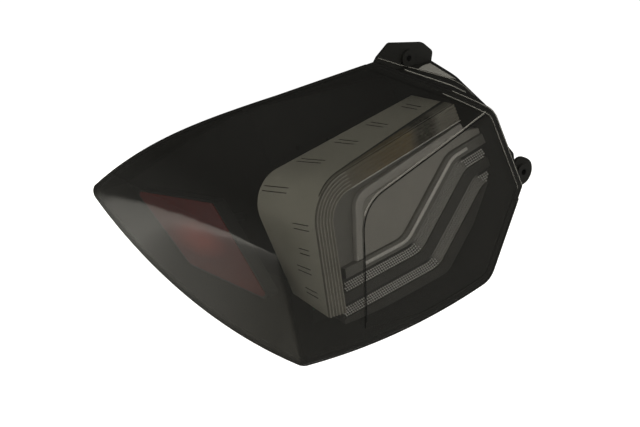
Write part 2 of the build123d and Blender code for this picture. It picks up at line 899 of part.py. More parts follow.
with BuildPart() as body_gasket:
    with BuildSketch(pad_plane):
        RectangleRounded(pad_width - 1, pad_height - 1, 5)
        RectangleRounded(pad_width - 2 * gasket_width, pad_height - 2 * gasket_width, 3, mode=Mode.SUBTRACT)
    extrude(amount=gasket_height)

with BuildPart() as connector_socket:
    with BuildSketch(pad_plane):
        RectangleRounded(socket_width + 2 * socket_flange, socket_height + 2 * socket_flange, 3)
    extrude(amount=socket_flange_height)
    with BuildSketch(pad_plane.offset(-2 * pad_wall)):
        RectangleRounded(socket_width, socket_height, 2)
    extrude(amount=2 * pad_wall + socket_flange_height + socket_length)
    with BuildSketch(pad_plane.offset(socket_flange_height)):
        RectangleRounded(socket_width - 2 * socket_wall, socket_height - 2 * socket_wall, 1)
    extrude(amount=socket_length, mode=Mode.SUBTRACT)

with BuildPart() as connector_terminals:
    with BuildSketch(pad_plane.offset(socket_flange_height)):
        with GridLocations(terminal_pitch, 1, terminal_count, 1):
            Rectangle(terminal_width, terminal_wall)
    extrude(amount=terminal_length)

with BuildPart() as vent_caps:
    with BuildSketch(back_face):
        with Locations((-vent_across, vent_up), (-vent_across - vent_spacing, vent_up)):
            Circle(vent_radius)
    extrude(amount=vent_height)
    with BuildSketch(back_face):
        with Locations((-vent_across, vent_up), (-vent_across - vent_spacing, vent_up)):
            Circle(vent_spigot_radius)
    extrude(amount=-house_wall)

os.makedirs("parts", exist_ok=True)
outer_lens.part.label = "outer_lens"
export_step(outer_lens.part, "parts/outer_lens.step")
lens_seal.part.label = "lens_seal"
export_step(lens_seal.part, "parts/lens_seal.step")
rear_housing.part.label = "rear_housing"
export_step(rear_housing.part, "parts/rear_housing.step")
inner_bezel.part.label = "inner_bezel"
export_step(inner_bezel.part, "parts/inner_bezel.step")
carrier_plate.part.label = "carrier_plate"
export_step(carrier_plate.part, "parts/carrier_plate.step")
module_screws.part.label = "module_screws"
export_step(module_screws.part, "parts/module_screws.step")
silver_reflector.part.label = "silver_reflector"
export_step(silver_reflector.part, "parts/silver_reflector.step")
ribbed_light_guide.part.label = "ribbed_light_guide"
export_step(ribbed_light_guide.part, "parts/ribbed_light_guide.step")
guide_led_board.part.label = "guide_led_board"
export_step(guide_led_board.part, "parts/guide_led_board.step")
guide_leds.part.label = "guide_leds"
export_step(guide_leds.part, "parts/guide_leds.step")
inner_reflector.part.label = "inner_reflector"
export_step(inner_reflector.part, "parts/inner_reflector.step")
light_pipe.part.label = "light_pipe"
export_step(light_pipe.part, "parts/light_pipe.step")
centre_panel.part.label = "centre_panel"
export_step(centre_panel.part, "parts/centre_panel.step")
stop_led_board.part.label = "stop_led_board"
export_step(stop_led_board.part, "parts/stop_led_board.step")
stop_leds.part.label = "stop_leds"
export_step(stop_leds.part, "parts/stop_leds.step")
wave_reflector.part.label = "wave_reflector"
export_step(wave_reflector.part, "parts/wave_reflector.step")
for name, band_part in zip(band_names, reflex_bands):
    band_part.label = f"reflex_band_{name}"
    export_step(band_part, f"parts/reflex_band_{name}.step")
marker_reflex.part.label = "marker_reflex"
export_step(marker_reflex.part, "parts/marker_reflex.step")
marker_tray.part.label = "marker_tray"
export_step(marker_tray.part, "parts/marker_tray.step")
marker_led_board.part.label = "marker_led_board"
export_step(marker_led_board.part, "parts/marker_led_board.step")
marker_leds.part.label = "marker_leds"
export_step(marker_leds.part, "parts/marker_leds.step")
driver_board.part.label = "driver_board"
export_step(driver_board.part, "parts/driver_board.step")
driver_chips.part.label = "driver_chips"
export_step(driver_chips.part, "parts/driver_chips.step")
ear_bushings.part.label = "ear_bushings"
export_step(ear_bushings.part, "parts/ear_bushings.step")
for name, pin_part in zip(("main", "side"), pins):
    pin_part.label = f"locating_pin_{name}"
    export_step(pin_part, f"parts/locating_pin_{name}.step")
body_gasket.part.label = "body_gasket"
export_step(body_gasket.part, "parts/body_gasket.step")
connector_socket.part.label = "connector_socket"
export_step(connector_socket.part, "parts/connector_socket.step")
connector_terminals.part.label = "connector_terminals"
export_step(connector_terminals.part, "parts/connector_terminals.step")
vent_caps.part.label = "vent_caps"
export_step(vent_caps.part, "parts/vent_caps.step")
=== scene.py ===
"""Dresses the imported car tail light: smoked lens, lamp modules, black housing and a plain studio.

Metres. +X runs inboard, +Y forwards, +Z up; the rear face of the lamp looks along -Y.
"""

import logging
import math
from collections.abc import Iterator, Sequence
from dataclasses import dataclass
from enum import Enum, IntEnum
from functools import cached_property

import bmesh
import bpy
from mathutils import Euler, Matrix, Vector
from mathutils.bvhtree import BVHTree


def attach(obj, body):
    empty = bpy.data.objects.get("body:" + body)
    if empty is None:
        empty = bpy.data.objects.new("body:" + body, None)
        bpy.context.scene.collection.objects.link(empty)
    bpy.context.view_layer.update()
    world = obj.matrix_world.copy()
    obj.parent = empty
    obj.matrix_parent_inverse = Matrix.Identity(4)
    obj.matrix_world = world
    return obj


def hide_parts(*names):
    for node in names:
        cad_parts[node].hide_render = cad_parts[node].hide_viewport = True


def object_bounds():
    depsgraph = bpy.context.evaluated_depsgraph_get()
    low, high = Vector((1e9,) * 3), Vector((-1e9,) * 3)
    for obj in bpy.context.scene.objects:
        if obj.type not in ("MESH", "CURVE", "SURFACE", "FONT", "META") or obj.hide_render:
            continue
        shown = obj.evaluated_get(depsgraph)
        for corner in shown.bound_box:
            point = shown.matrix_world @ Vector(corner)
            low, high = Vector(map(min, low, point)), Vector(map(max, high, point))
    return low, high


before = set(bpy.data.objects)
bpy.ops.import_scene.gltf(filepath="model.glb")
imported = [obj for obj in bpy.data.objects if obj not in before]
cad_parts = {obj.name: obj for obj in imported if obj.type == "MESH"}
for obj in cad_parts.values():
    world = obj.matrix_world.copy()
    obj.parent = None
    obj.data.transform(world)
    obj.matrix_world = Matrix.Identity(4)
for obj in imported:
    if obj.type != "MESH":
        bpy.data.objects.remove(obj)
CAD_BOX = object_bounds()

log = logging.getLogger("tail_light")

MM = 0.001
MERGE = 2e-6
FLAT_ANGLE = math.radians(0.4)
EDGE_ANGLE = math.radians(32)
SHEET_ANGLE = math.radians(40)
BEAD_ANGLE = math.radians(62)
BODY = "root"
# Lower outer corner of the rear face, and the middle of the lamp seen from there, in millimetres.
CORNER = Vector((-110.0, -118.0, -46.0))
MIDDLE = Vector((110.0, 90.0, 110.0))
Pair = tuple[float, float]
Triple = tuple[float, float, float]
Colour = Triple


class Slot(Enum):
    """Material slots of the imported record."""

    LENS = "smoked_lens"
    HOUSING = "black_housing"
    BEZEL = "dark_bezel"
    SEAL = "seal_rubber"
    SILVER = "silver"
    GUIDE = "clear_guide"
    GREY = "grey_satin"
    PIPE = "light_pipe"
    CENTRE = "centre_grey"
    REFLEX = "reflex"
    RED = "red_reflex"
    BOARD = "board"
    LED = "led"
    CHIP = "chip"
    STEEL = "steel"
    NYLON = "pin_nylon"
    FOAM = "foam"
    SOCKET = "socket"
    TERMINAL = "terminal"


class Wiring:
    """Adds and links the nodes of one node tree."""

    def __init__(self, tree: bpy.types.NodeTree) -> None:
        """Keeps the tree that the nodes go into."""
        self.tree = tree

    def node(self, kind: str, values: dict[str, object] | None = None, **settings: object) -> bpy.types.Node:
        """Adds a node.

        Args:
            kind: Blender's node type name.
            values: default values by input name.
            **settings: node properties to set first.

        Returns:
            The new node.
        """
        made = self.tree.nodes.new(kind)
        for key, value in settings.items():
            setattr(made, key, value)
        for key, value in (values or {}).items():
            made.inputs[key].default_value = value
        return made

    def link(self, source: bpy.types.NodeSocket, target: bpy.types.NodeSocket) -> None:
        """Links an output to an input."""
        self.tree.links.new(source, target)

    def join(self, *links: tuple[bpy.types.Node, str | int, bpy.types.Node, str | int]) -> None:
        """Links nodes in order.

        Args:
            *links: for each link the first node, its output, the second node and its input.
        """
        for source, output, target, entry in links:
            self.link(source.outputs[output], target.inputs[entry])

    def window(
        self, value: bpy.types.NodeSocket, rise: Pair, fall: Pair
    ) -> bpy.types.NodeSocket:
        """Makes a share that rises from 0 to 1 and falls back again.

        Args:
            value: the socket that it follows.
            rise: values between which it rises.
            fall: values between which it falls.

        Returns:
            The socket that gives the share.
        """
        both = self.node("ShaderNodeMath", operation="MULTIPLY")
        for (start, end), levels, target in zip((rise, fall), ((0.0, 1.0), (1.0, 0.0)), both.inputs):
            ramp = self.node(
                "ShaderNodeMapRange",
                {"From Min": start, "From Max": end, "To Min": levels[0], "To Max": levels[1]},
            )
            self.link(value, ramp.inputs["Value"])
            self.link(ramp.outputs["Result"], target)
        return both.outputs[0]

    def overlay(self, shader: bpy.types.Node, colour: Colour, share: bpy.types.NodeSocket) -> None:
        """Lays a colour over a shader's base colour.

        Args:
            shader: the shader node, whose base colour is linked.
            colour: the colour laid over it.
            share: the socket that says how much of it shows.
        """
        tint = self.node("ShaderNodeMix", data_type="RGBA")
        tint.inputs["B"].default_value = (*colour, 1.0)
        self.link(share, tint.inputs["Factor"])
        self.link(shader.inputs["Base Color"].links[0].from_socket, tint.inputs["A"])
        self.link(tint.outputs["Result"], shader.inputs["Base Color"])


def new_material(name: str) -> tuple[bpy.types.Material, Wiring, bpy.types.Node]:
    """Makes an empty material with its output node.

    Args:
        name: the material's name.

    Returns:
        The material, its wiring and its output node.
    """
    material = bpy.data.materials.new(name)
    material.use_nodes = True
    material.node_tree.nodes.clear()
    wiring = Wiring(material.node_tree)
    return material, wiring, wiring.node("ShaderNodeOutputMaterial")


@dataclass(frozen=True)
class MouldedFinish:
    """Moulded plastic or metal: two close tones, cloudy gloss and a fine grain."""

    name: str
    slot: Slot
    light: Colour
    dark: Colour
    roughness: Pair = (0.35, 0.5)
    metallic: float = 0.0
    coat: float = 0.0
    specular: float = 0.5
    ior: float = 1.5
    sheen: Colour = (1.0, 1.0, 1.0)
    alpha: float = 1.0
    cloud_scale: float = 45.0
    grain_scale: float = 1400.0
    grain_depth: float = 0.15

    def surface(self, wiring: Wiring) -> tuple[bpy.types.Node, bpy.types.Node]:
        """Lays the tones, gloss and grain on one shader.

        Args:
            wiring: the material's wiring.

        Returns:
            The shader node and the coordinate node.
        """
        place = wiring.node("ShaderNodeTexCoord")
        shader = wiring.node(
            "ShaderNodeBsdfPrincipled",
            {
                "Metallic": self.metallic,
                "Coat Weight": self.coat,
                "Specular IOR Level": self.specular,
                "IOR": self.ior,
                "Specular Tint": (*self.sheen, 1.0),
                "Alpha": self.alpha,
            },
        )
        cloud = wiring.node("ShaderNodeTexNoise", {"Scale": self.cloud_scale, "Detail": 4.0})
        tones = wiring.node("ShaderNodeMix", data_type="RGBA")
        tones.inputs["A"].default_value = (*self.dark, 1.0)
        tones.inputs["B"].default_value = (*self.light, 1.0)
        gloss = wiring.node(
            "ShaderNodeMapRange", {"To Min": self.roughness[0], "To Max": self.roughness[1]}
        )
        grain = wiring.node("ShaderNodeTexNoise", {"Scale": self.grain_scale, "Detail": 2.0})
        bump = wiring.node("ShaderNodeBump", {"Strength": self.grain_depth, "Distance": 0.0002})
        wiring.join(
            (place, "Object", cloud, "Vector"),
            (place, "Object", grain, "Vector"),
            (cloud, "Fac", tones, "Factor"),
            (cloud, "Fac", gloss, "Value"),
            (grain, "Fac", bump, "Height"),
            (tones, "Result", shader, "Base Color"),
            (gloss, "Result", shader, "Roughness"),
            (bump, "Normal", shader, "Normal"),
        )
        return shader, place

    def material(self) -> bpy.types.Material:
        """Makes the finish's material at the first call and finds it later.

        Returns:
            The Blender material.
        """
        name = self.name + "_finish"
        if name in bpy.data.materials:
            return bpy.data.materials[name]
        material, wiring, output = new_material(name)
        shader, _ = self.surface(wiring)
        wiring.link(shader.outputs["BSDF"], output.inputs["Surface"])
        return material


LENS = MouldedFinish(
    "smoked_lens", Slot.LENS, (0.012, 0.012, 0.011), (0.008, 0.008, 0.0075), (0.02, 0.04),
    specular=1.0, ior=1.9, sheen=(1.0, 0.965, 0.86), alpha=0.33, grain_depth=0.0,
)
BLACK_GRAINED = MouldedFinish(
    "black_grained", Slot.HOUSING, (0.014, 0.014, 0.013), (0.009, 0.009, 0.0085), (0.5, 0.68),
    specular=0.3, grain_depth=0.4,
)
BLACK_SATIN = MouldedFinish(
    "black_satin", Slot.BEZEL, (0.018, 0.018, 0.017), (0.011, 0.011, 0.011), (0.5, 0.65), grain_depth=0.04
)
BLACK_RUBBER = MouldedFinish(
    "black_rubber", Slot.SEAL, (0.02, 0.02, 0.02), (0.013, 0.013, 0.013), (0.7, 0.85), specular=0.2
)
SILVER = MouldedFinish(
    "satin_silver", Slot.SILVER, (0.74, 0.715, 0.61), (0.6, 0.58, 0.49), (0.34, 0.46), metallic=0.25
)


@dataclass(frozen=True)
class GuideFinish(MouldedFinish):
    """Clear fluted guide: grey over the leg and the tip, with amber and dark specks along the upper arm."""

    amber: Colour = (0.23, 0.175, 0.09)
    shade: Colour = (0.05, 0.047, 0.035)
    root: Pair = (-0.03, 0.03)
    bend: Pair = (0.058, 0.07)
    tip: Pair = (0.086, 0.096)
    speck_scale: float = 520.0
    speck_share: Pair = (0.55, 1.0)

    def surface(self, wiring: Wiring) -> tuple[bpy.types.Node, bpy.types.Node]:
        """Adds the amber and the dark specks to the moulded surface.

        Args:
            wiring: the material's wiring.

        Returns:
            The shader node and the coordinate node.
        """
        shader, place = super().surface(wiring)
        axes = wiring.node("ShaderNodeSeparateXYZ")
        specks = wiring.node("ShaderNodeTexVoronoi", {"Scale": self.speck_scale})
        depth = wiring.node(
            "ShaderNodeMapRange", {"To Min": self.speck_share[0], "To Max": self.speck_share[1]}
        )
        wiring.join(
            (place, "Object", axes, "Vector"),
            (place, "Object", specks, "Vector"),
            (specks, "Color", depth, "Value"),
        )
        for colour, rise, fall in ((self.amber, self.root, self.bend), (self.shade, self.bend, self.tip)):
            share = wiring.node("ShaderNodeMath", operation="MULTIPLY")
            wiring.link(wiring.window(axes.outputs["X"], rise, fall), share.inputs[0])
            wiring.link(depth.outputs["Result"], share.inputs[1])
            wiring.overlay(shader, colour, share.outputs[0])
        return shader, place


GUIDE = GuideFinish(
    "fluted_guide", Slot.GUIDE, (0.31, 0.295, 0.255), (0.225, 0.21, 0.18), (0.12, 0.22), coat=0.4
)
GREY = MouldedFinish(
    "grey_satin", Slot.GREY, (0.36, 0.35, 0.32), (0.29, 0.28, 0.26), (0.3, 0.45), metallic=0.3
)
PIPE = MouldedFinish(
    "frosted_pipe", Slot.PIPE, (0.58, 0.56, 0.53), (0.5, 0.48, 0.45), (0.2, 0.32), coat=0.3
)
CENTRE = MouldedFinish(
    "centre_grey", Slot.CENTRE, (0.6, 0.575, 0.53), (0.5, 0.48, 0.44), (0.3, 0.42), metallic=0.3
)
WAVE = MouldedFinish(
    "wave_grey", Slot.GREY, (0.12, 0.116, 0.109), (0.087, 0.083, 0.078), (0.25, 0.36), metallic=0.3
)
WAVE_PALE = MouldedFinish(
    "wave_pale", Slot.GREY, (0.3, 0.29, 0.27), (0.23, 0.22, 0.205), (0.3, 0.42), metallic=0.3
)
WAVE_DARK = MouldedFinish("wave_dark", Slot.GREY, (0.05, 0.048, 0.045), (0.035, 0.034, 0.032), (0.3, 0.42))
# Lit and shaded copies of one prism finish: the bright one paints the glint of the prisms on the runs at
# both ends, the dim one paints shade along the steep run.
PRISMS_LIT = MouldedFinish(
    "reflex_prisms_lit", Slot.REFLEX, (0.95, 0.93, 0.9), (0.82, 0.8, 0.77), (0.15, 0.25), coat=0.5
)
PRISMS_SHADED = MouldedFinish(
    "prisms_shaded", Slot.REFLEX, (0.46, 0.45, 0.425), (0.38, 0.37, 0.35), (0.2, 0.3), coat=0.3
)
BOARD = MouldedFinish("board_green", Slot.BOARD, (0.05, 0.16, 0.09), (0.03, 0.1, 0.055), (0.3, 0.5))
LED = MouldedFinish("led_phosphor", Slot.LED, (0.85, 0.8, 0.5), (0.75, 0.7, 0.42), (0.25, 0.4))
CHIP = MouldedFinish("chip_package", Slot.CHIP, (0.04, 0.04, 0.04), (0.025, 0.025, 0.025), (0.5, 0.7))
STEEL = MouldedFinish(
    "zinc_steel", Slot.STEEL, (0.62, 0.62, 0.63), (0.5, 0.5, 0.51), (0.25, 0.4), metallic=1.0
)
NYLON = MouldedFinish("natural_nylon", Slot.NYLON, (0.56, 0.56, 0.52), (0.48, 0.48, 0.45), (0.4, 0.55))
FOAM = MouldedFinish(
    "black_foam", Slot.FOAM, (0.06, 0.06, 0.06), (0.03, 0.03, 0.03), (0.85, 0.95),
    grain_scale=900.0, grain_depth=0.8,
)
SOCKET = MouldedFinish(
    "socket_plastic", Slot.SOCKET, (0.05, 0.05, 0.055), (0.035, 0.035, 0.04), (0.4, 0.55)
)
BRASS = MouldedFinish(
    "tinned_brass", Slot.TERMINAL, (0.72, 0.6, 0.36), (0.6, 0.48, 0.26), (0.2, 0.35), metallic=1.0
)
SLOT_SHADOW = MouldedFinish(
    "slot_shadow", Slot.SILVER, (0.06, 0.06, 0.05), (0.035, 0.035, 0.03), (0.5, 0.7)
)
# Painted shadow: a black strip on the silver wall where the gap beside the guide's arm falls in shade.
GAP_SHADOW = MouldedFinish(
    "gap_shadow", Slot.BEZEL, (0.012, 0.013, 0.01), (0.006, 0.007, 0.005), (0.45, 0.6)
)
# Painted highlight: near-white for the bright line along the S ridge and along the guide's inner edge.
RIDGE_HIGHLIGHT = MouldedFinish("ridge_highlight", Slot.GREY, (0.9, 0.88, 0.84), (0.8, 0.78, 0.74), (0.16, 0.26))
# Painted highlight: a paler copy of the guide's finish for the rounded rib tops.
RIB_HIGHLIGHT = MouldedFinish(
    "rib_highlight", Slot.GUIDE, (0.52, 0.495, 0.44), (0.42, 0.4, 0.35), (0.1, 0.2), coat=0.4
)
LENS_RIM = MouldedFinish(
    "lens_rim", Slot.LENS, (0.01, 0.01, 0.0095), (0.007, 0.007, 0.0065), (0.45, 0.6),
    specular=0.05, grain_depth=0.0,
)
# Painted highlight: a pale, half-clear finish for the bright lines along the lens pane, the lens rim and the
# shelf edge.
LENS_HIGHLIGHT = MouldedFinish(
    "lens_highlight", Slot.LENS, (0.4, 0.39, 0.37), (0.3, 0.29, 0.275), (0.08, 0.16), alpha=0.5, grain_depth=0.0
)
# Painted shade: a near-black finish for the dark line beside the pane's edge and for the pane's walls down
# the leg.
LENS_SHADE = MouldedFinish(
    "lens_shade", Slot.LENS, (0.01, 0.01, 0.01), (0.006, 0.006, 0.006), (0.1, 0.2),
    alpha=0.75, grain_depth=0.0,
)
# Painted reflection: a pale grey for the shelf's ledge and facet, which stand for the shelf top mirroring
# the bright sky.
SHELF_REFLECTION = MouldedFinish(
    "shelf_reflection", Slot.HOUSING, (0.3, 0.295, 0.28), (0.22, 0.216, 0.205), (0.3, 0.45), grain_depth=0.3
)
DARK_ZINC = MouldedFinish(
    "dark_zinc", Slot.STEEL, (0.012, 0.012, 0.0115), (0.008, 0.008, 0.008), (0.5, 0.65), specular=0.3
)


@dataclass(frozen=True)
class MarkerFinish(MouldedFinish):
    """Red moulded prisms with a painted glint: one bright spot painted into their colour."""

    # Colour, middle, squash and reach of the painted glint.
    glow: Colour = (0.5, 0.075, 0.05)
    spot: Triple = (-0.1136, 0.0424, 0.0368)
    squash: Triple = (1.0, 0.42, 1.0)
    reach: Pair = (0.002, 0.021)

    def surface(self, wiring: Wiring) -> tuple[bpy.types.Node, bpy.types.Node]:
        """Adds the painted glint, a bright spot, to the moulded surface.

        Args:
            wiring: the material's wiring.

        Returns:
            The shader node and the coordinate node.
        """
        shader, place = super().surface(wiring)
        flat = wiring.node("ShaderNodeVectorMath", {1: self.squash}, operation="MULTIPLY")
        middle = [s * q for s, q in zip(self.spot, self.squash)]
        away = wiring.node("ShaderNodeVectorMath", {1: middle}, operation="DISTANCE")
        share = wiring.node(
            "ShaderNodeMapRange",
            {"From Min": self.reach[0], "From Max": self.reach[1], "To Min": 1.0, "To Max": 0.0},
            interpolation_type="SMOOTHSTEP",
        )
        wiring.join(
            (place, "Object", flat, 0),
            (flat, "Vector", away, 0),
            (away, "Value", share, "Value"),
        )
        wiring.overlay(shader, self.glow, share.outputs["Result"])
        return shader, place


RED = MarkerFinish(
    "red_prisms", Slot.RED, (0.19, 0.017, 0.013), (0.125, 0.01, 0.008), (0.15, 0.3), coat=0.3
)


def from_corner(offset: Sequence[float]) -> Vector:
    """Point of the frame from its offset to the corner.

    Args:
        offset: millimetres inboard, forward and up.

    Returns:
        The point in metres.
    """
    return (CORNER + Vector(offset)) * MM


@dataclass(frozen=True)
class RearFace:
    """The sloping plane of the lamp's rear face, which the modules are laid out on."""

    sweep: float = 0.12
    lean: float = 0.22

    @property
    def normal(self) -> Vector:
        """Direction out of the rear face."""
        return Vector((-self.sweep, -1.0, self.lean)).normalized()

    @property
    def along(self) -> Vector:
        """Direction inboard along the rear face."""
        return Vector((1.0, -self.sweep, 0.0)).normalized()

    @property
    def rise(self) -> Vector:
        """Direction up the rear face."""
        return self.normal.cross(self.along)

    @property
    def turn(self) -> Euler:
        """Turn that lays an upright instance on the rear face."""
        return Matrix((self.along, self.rise, self.normal)).transposed().to_euler()

    def point(self, across: float, up: float, depth: float) -> Vector:
        """Point of the frame from a place on the rear face.

        Args:
            across: millimetres inboard from the lower outer corner.
            up: millimetres up the face.
            depth: millimetres behind the face.

        Returns:
            The point in metres.
        """
        return (CORNER + self.along * across + self.rise * up - self.normal * depth) * MM


REAR = RearFace()


def drop_shading(mesh: bpy.types.Mesh) -> None:
    """Takes a copied mesh's own normals and sharp marks away.

    Args:
        mesh: the copy.
    """
    for name in ("custom_normal", "sharp_edge", "sharp_face"):
        if name in mesh.attributes:
            mesh.attributes.remove(mesh.attributes[name])


def cad_mesh(node: str) -> bpy.types.Mesh:
    """Copies a CAD node's mesh with its loose triangles merged into flat faces.

    Args:
        node: the CAD node's name.

    Returns:
        A new mesh without custom normals.
    """
    mesh = bpy.data.meshes.new(node + "_copy")
    work = bmesh.new()
    work.from_mesh(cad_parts[node].data)
    bmesh.ops.remove_doubles(work, verts=work.verts, dist=MERGE)
    bmesh.ops.dissolve_limit(work, angle_limit=FLAT_ANGLE, verts=work.verts, edges=work.edges)
    work.to_mesh(mesh)
    work.free()
    drop_shading(mesh)
    return mesh


def exact_copy(node: str) -> bpy.types.Mesh:
    """Copies a CAD node's mesh as one closed skin that keeps the exact surface normals.

    Args:
        node: the CAD node's name.

    Returns:
        The new mesh.
    """
    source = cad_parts[node].data
    mesh = source.copy()
    normals = [0.0] * (3 * len(mesh.loops))
    source.corner_normals.foreach_get("vector", normals)
    mesh.attributes.new("exact", "FLOAT_VECTOR", "CORNER").data.foreach_set("vector", normals)
    drop_shading(mesh)
    work = bmesh.new()
    work.from_mesh(mesh)
    bmesh.ops.remove_doubles(work, verts=work.verts, dist=MERGE)
    work.to_mesh(mesh)
    work.free()
    mesh.shade_smooth()
    mesh.normals_split_custom_set([tuple(a.vector) for a in mesh.attributes["exact"].data])
    mesh.attributes.remove(mesh.attributes["exact"])
    return mesh


def place(name: str, data: bpy.types.ID) -> bpy.types.Object:
    """Puts a mesh, light or camera in the scene at the origin.

    Args:
        name: the object's name.
        data: what the object shows.

    Returns:
        The object.
    """
    made = bpy.data.objects.new(name, data)
    bpy.context.scene.collection.objects.link(made)
    return made


def paint(mesh: bpy.types.Mesh, *finishes: MouldedFinish) -> None:
    """Gives a mesh its finishes.

    Args:
        mesh: the mesh.
        *finishes: its finishes, in the order of the numbers that its faces carry.
    """
    mesh.materials.clear()
    for finish in finishes:
        mesh.materials.append(finish.material())


def settle(piece: bpy.types.Object) -> None:
    """Turns a piece's modifiers into its plain mesh and drops them.

    Args:
        piece: the piece.
    """
    bpy.context.view_layer.update()
    done = bpy.data.meshes.new_from_object(piece.evaluated_get(bpy.context.evaluated_depsgraph_get()))
    piece.modifiers.clear()
    piece.data = done


def hand_over(piece: bpy.types.Object, slot: Slot, *nodes: str) -> bpy.types.Object:
    """Fixes a finished piece to the lamp.

    Args:
        piece: the piece.
        slot: the record's slot of its finish; not used.
        *nodes: CAD nodes that it stands for.

    Returns:
        The piece.
    """
    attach(piece, BODY)
    if nodes:
        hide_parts(*nodes)
    log.info("%s: %d faces", piece.name, len(piece.data.polygons))
    return piece


def softened(node: str, finish: MouldedFinish, width: float = 0.4) -> bpy.types.Object:
    """Rebuilds a moulded CAD node with rounded edges that catch the light.

    Args:
        node: the CAD node's name.
        finish: its finish.
        width: edge rounding in millimetres.

    Returns:
        The piece that stands for the node.
    """
    piece = place(node + "_moulding", cad_mesh(node))
    rounding = piece.modifiers.new("rounding", "BEVEL")
    rounding.width = width * MM
    rounding.segments = 2
    rounding.limit_method = "ANGLE"
    rounding.angle_limit = EDGE_ANGLE
    rounding.harden_normals = True
    piece.data.shade_smooth()
    piece.data.set_sharp_from_angle(angle=EDGE_ANGLE)
    settle(piece)
    paint(piece.data, finish)
    return hand_over(piece, finish.slot, node)


def reskinned(name: str, node: str, finish: MouldedFinish, swell: float = 0.0) -> bpy.types.Object:
    """Rebuilds a curved CAD node as one smooth skin.

    Args:
        name: the piece's name.
        node: the CAD node's name.
        finish: its finish.
        swell: how far the skin is pushed out, in millimetres.

    Returns:
        The piece that stands for the node.
    """
    piece = place(name, exact_copy(node))
    if swell:
        push = piece.modifiers.new("swell", "DISPLACE")
        push.strength, push.mid_level = swell * MM, 0.0
        settle(piece)
    paint(piece.data, finish)
    return hand_over(piece, finish.slot, node)


def sheet(
    name: str,
    points: Sequence[Vector],
    faces: Sequence[Sequence[int]],
    finish: MouldedFinish,
    thickness: float = 0.3,
) -> bpy.types.Object:
    """Makes a thin sheet and fixes it to the lamp.

    Args:
        name: the piece's name.
        points: its points in metres.
        faces: point numbers of each face.
        finish: its finish.
        thickness: its thickness in millimetres.

    Returns:
        The piece.
    """
    mesh = bpy.data.meshes.new(name)
    mesh.from_pydata(points, [], faces)
    piece = place(name, mesh)
    skin = piece.modifiers.new("thickness", "SOLIDIFY")
    skin.thickness = thickness * MM
    skin.offset = 0.0
    settle(piece)
    piece.data.shade_smooth()
    piece.data.set_sharp_from_angle(angle=SHEET_ANGLE)
    paint(piece.data, finish)
    return hand_over(piece, finish.slot)


def dress(finish: MouldedFinish, *nodes: str) -> None:
    """Gives CAD nodes that stay as they are their finish.

    Args:
        finish: their finish.
        *nodes: the CAD nodes' names.
    """
    for node in nodes:
        paint(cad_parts[node].data, finish)
        log.info("%s keeps its solid", node)


class PieceTree:
    """Geometry node tree with named sizes, run once for each piece."""

    sizes: tuple[tuple[str, str], ...] = ()

    def __init__(self, name: str) -> None:
        """Builds the tree with its named inputs.

        Args:
            name: the tree's name.
        """
        self.tree = bpy.data.node_groups.new(name, "GeometryNodeTree")
        face = self.tree.interface
        face.new_socket("Geometry", in_out="OUTPUT", socket_type="NodeSocketGeometry")
        face.new_socket("Geometry", in_out="INPUT", socket_type="NodeSocketGeometry")
        self.inputs = {
            label: face.new_socket(label, in_out="INPUT", socket_type=kind).identifier
            for label, kind in (*self.sizes, ("Finish", "NodeSocketMaterial"))
        }
        wiring = Wiring(self.tree)
        sizes = wiring.node("NodeGroupInput")
        result = wiring.node("NodeGroupOutput")
        real = wiring.node("GeometryNodeRealizeInstances")
        paint = wiring.node("GeometryNodeSetMaterial")
        wiring.link(self.shape(wiring, sizes), real.inputs["Geometry"])
        wiring.join(
            (real, "Geometry", paint, "Geometry"),
            (sizes, "Finish", paint, "Material"),
            (paint, "Geometry", result, "Geometry"),
        )

    def shape(self, wiring: Wiring, sizes: bpy.types.Node) -> bpy.types.NodeSocket:
        """Wires the piece's own shape.

        Args:
            wiring: the tree's wiring.
            sizes: the group input node.

        Returns:
            The socket that gives the geometry.
        """
        raise NotImplementedError

    def run(
        self, name: str, paths: Sequence[Sequence[Vector]], finish: MouldedFinish, values: dict[str, object]
    ) -> bpy.types.Object:
        """Makes one piece from points or paths.

        Args:
            name: the piece's name.
            paths: runs of points in metres, joined in order.
            finish: the piece's finish.
            values: the tree's sizes by label.

        Returns:
            The piece, as a plain mesh.
        """
        points = [p for path in paths for p in path]
        edges, first = [], 0
        for path in paths:
            edges += [(first + i, first + i + 1) for i in range(len(path) - 1)]
            first += len(path)
        mesh = bpy.data.meshes.new(name)
        mesh.from_pydata(points, edges, [])
        piece = place(name, mesh)
        work = piece.modifiers.new("make", "NODES")
        work.node_group = self.tree
        for label, value in {**values, "Finish": finish.material()}.items():
            work[self.inputs[label]] = value
        settle(piece)
        return piece


class Bead(PieceTree):
    """Round bead that follows each path."""

    sizes = (("Radius", "NodeSocketFloat"), ("Sides", "NodeSocketInt"))

    def shape(self, wiring: Wiring, sizes: bpy.types.Node) -> bpy.types.NodeSocket:
        """Sweeps a circle along the paths.

        Args:
            wiring: the tree's wiring.
            sizes: the group input node.

        Returns:
            The socket that gives the swept mesh.
        """
        path = wiring.node("GeometryNodeMeshToCurve")
        ring = wiring.node("GeometryNodeCurvePrimitiveCircle")
        sweep = wiring.node("GeometryNodeCurveToMesh", {"Fill Caps": True})
        wiring.join(
            (sizes, "Geometry", path, "Mesh"),
            (sizes, "Sides", ring, "Resolution"),
            (sizes, "Radius", ring, "Radius"),
            (path, "Curve", sweep, "Curve"),
            (ring, "Curve", sweep, "Profile Curve"),
        )
        return sweep.outputs["Mesh"]

    def lay(
        self,
        name: str,
        paths: Sequence[Sequence[Vector]],
        finish: MouldedFinish,
        radius: float,
        sides: int = 10,
    ) -> bpy.types.Object:
        """Lays beads of one size along paths.

        Args:
            name: the piece's name.
            paths: runs of points in metres.
            finish: the bead's finish.
            radius: its radius in millimetres.
            sides: corners of its section.

        Returns:
            The piece, fixed to the lamp.
        """
        piece = self.run(name, paths, finish, {"Radius": radius * MM, "Sides": sides})
        piece.data.shade_smooth()
        piece.data.set_sharp_from_angle(angle=BEAD_ANGLE)
        return hand_over(piece, finish.slot)


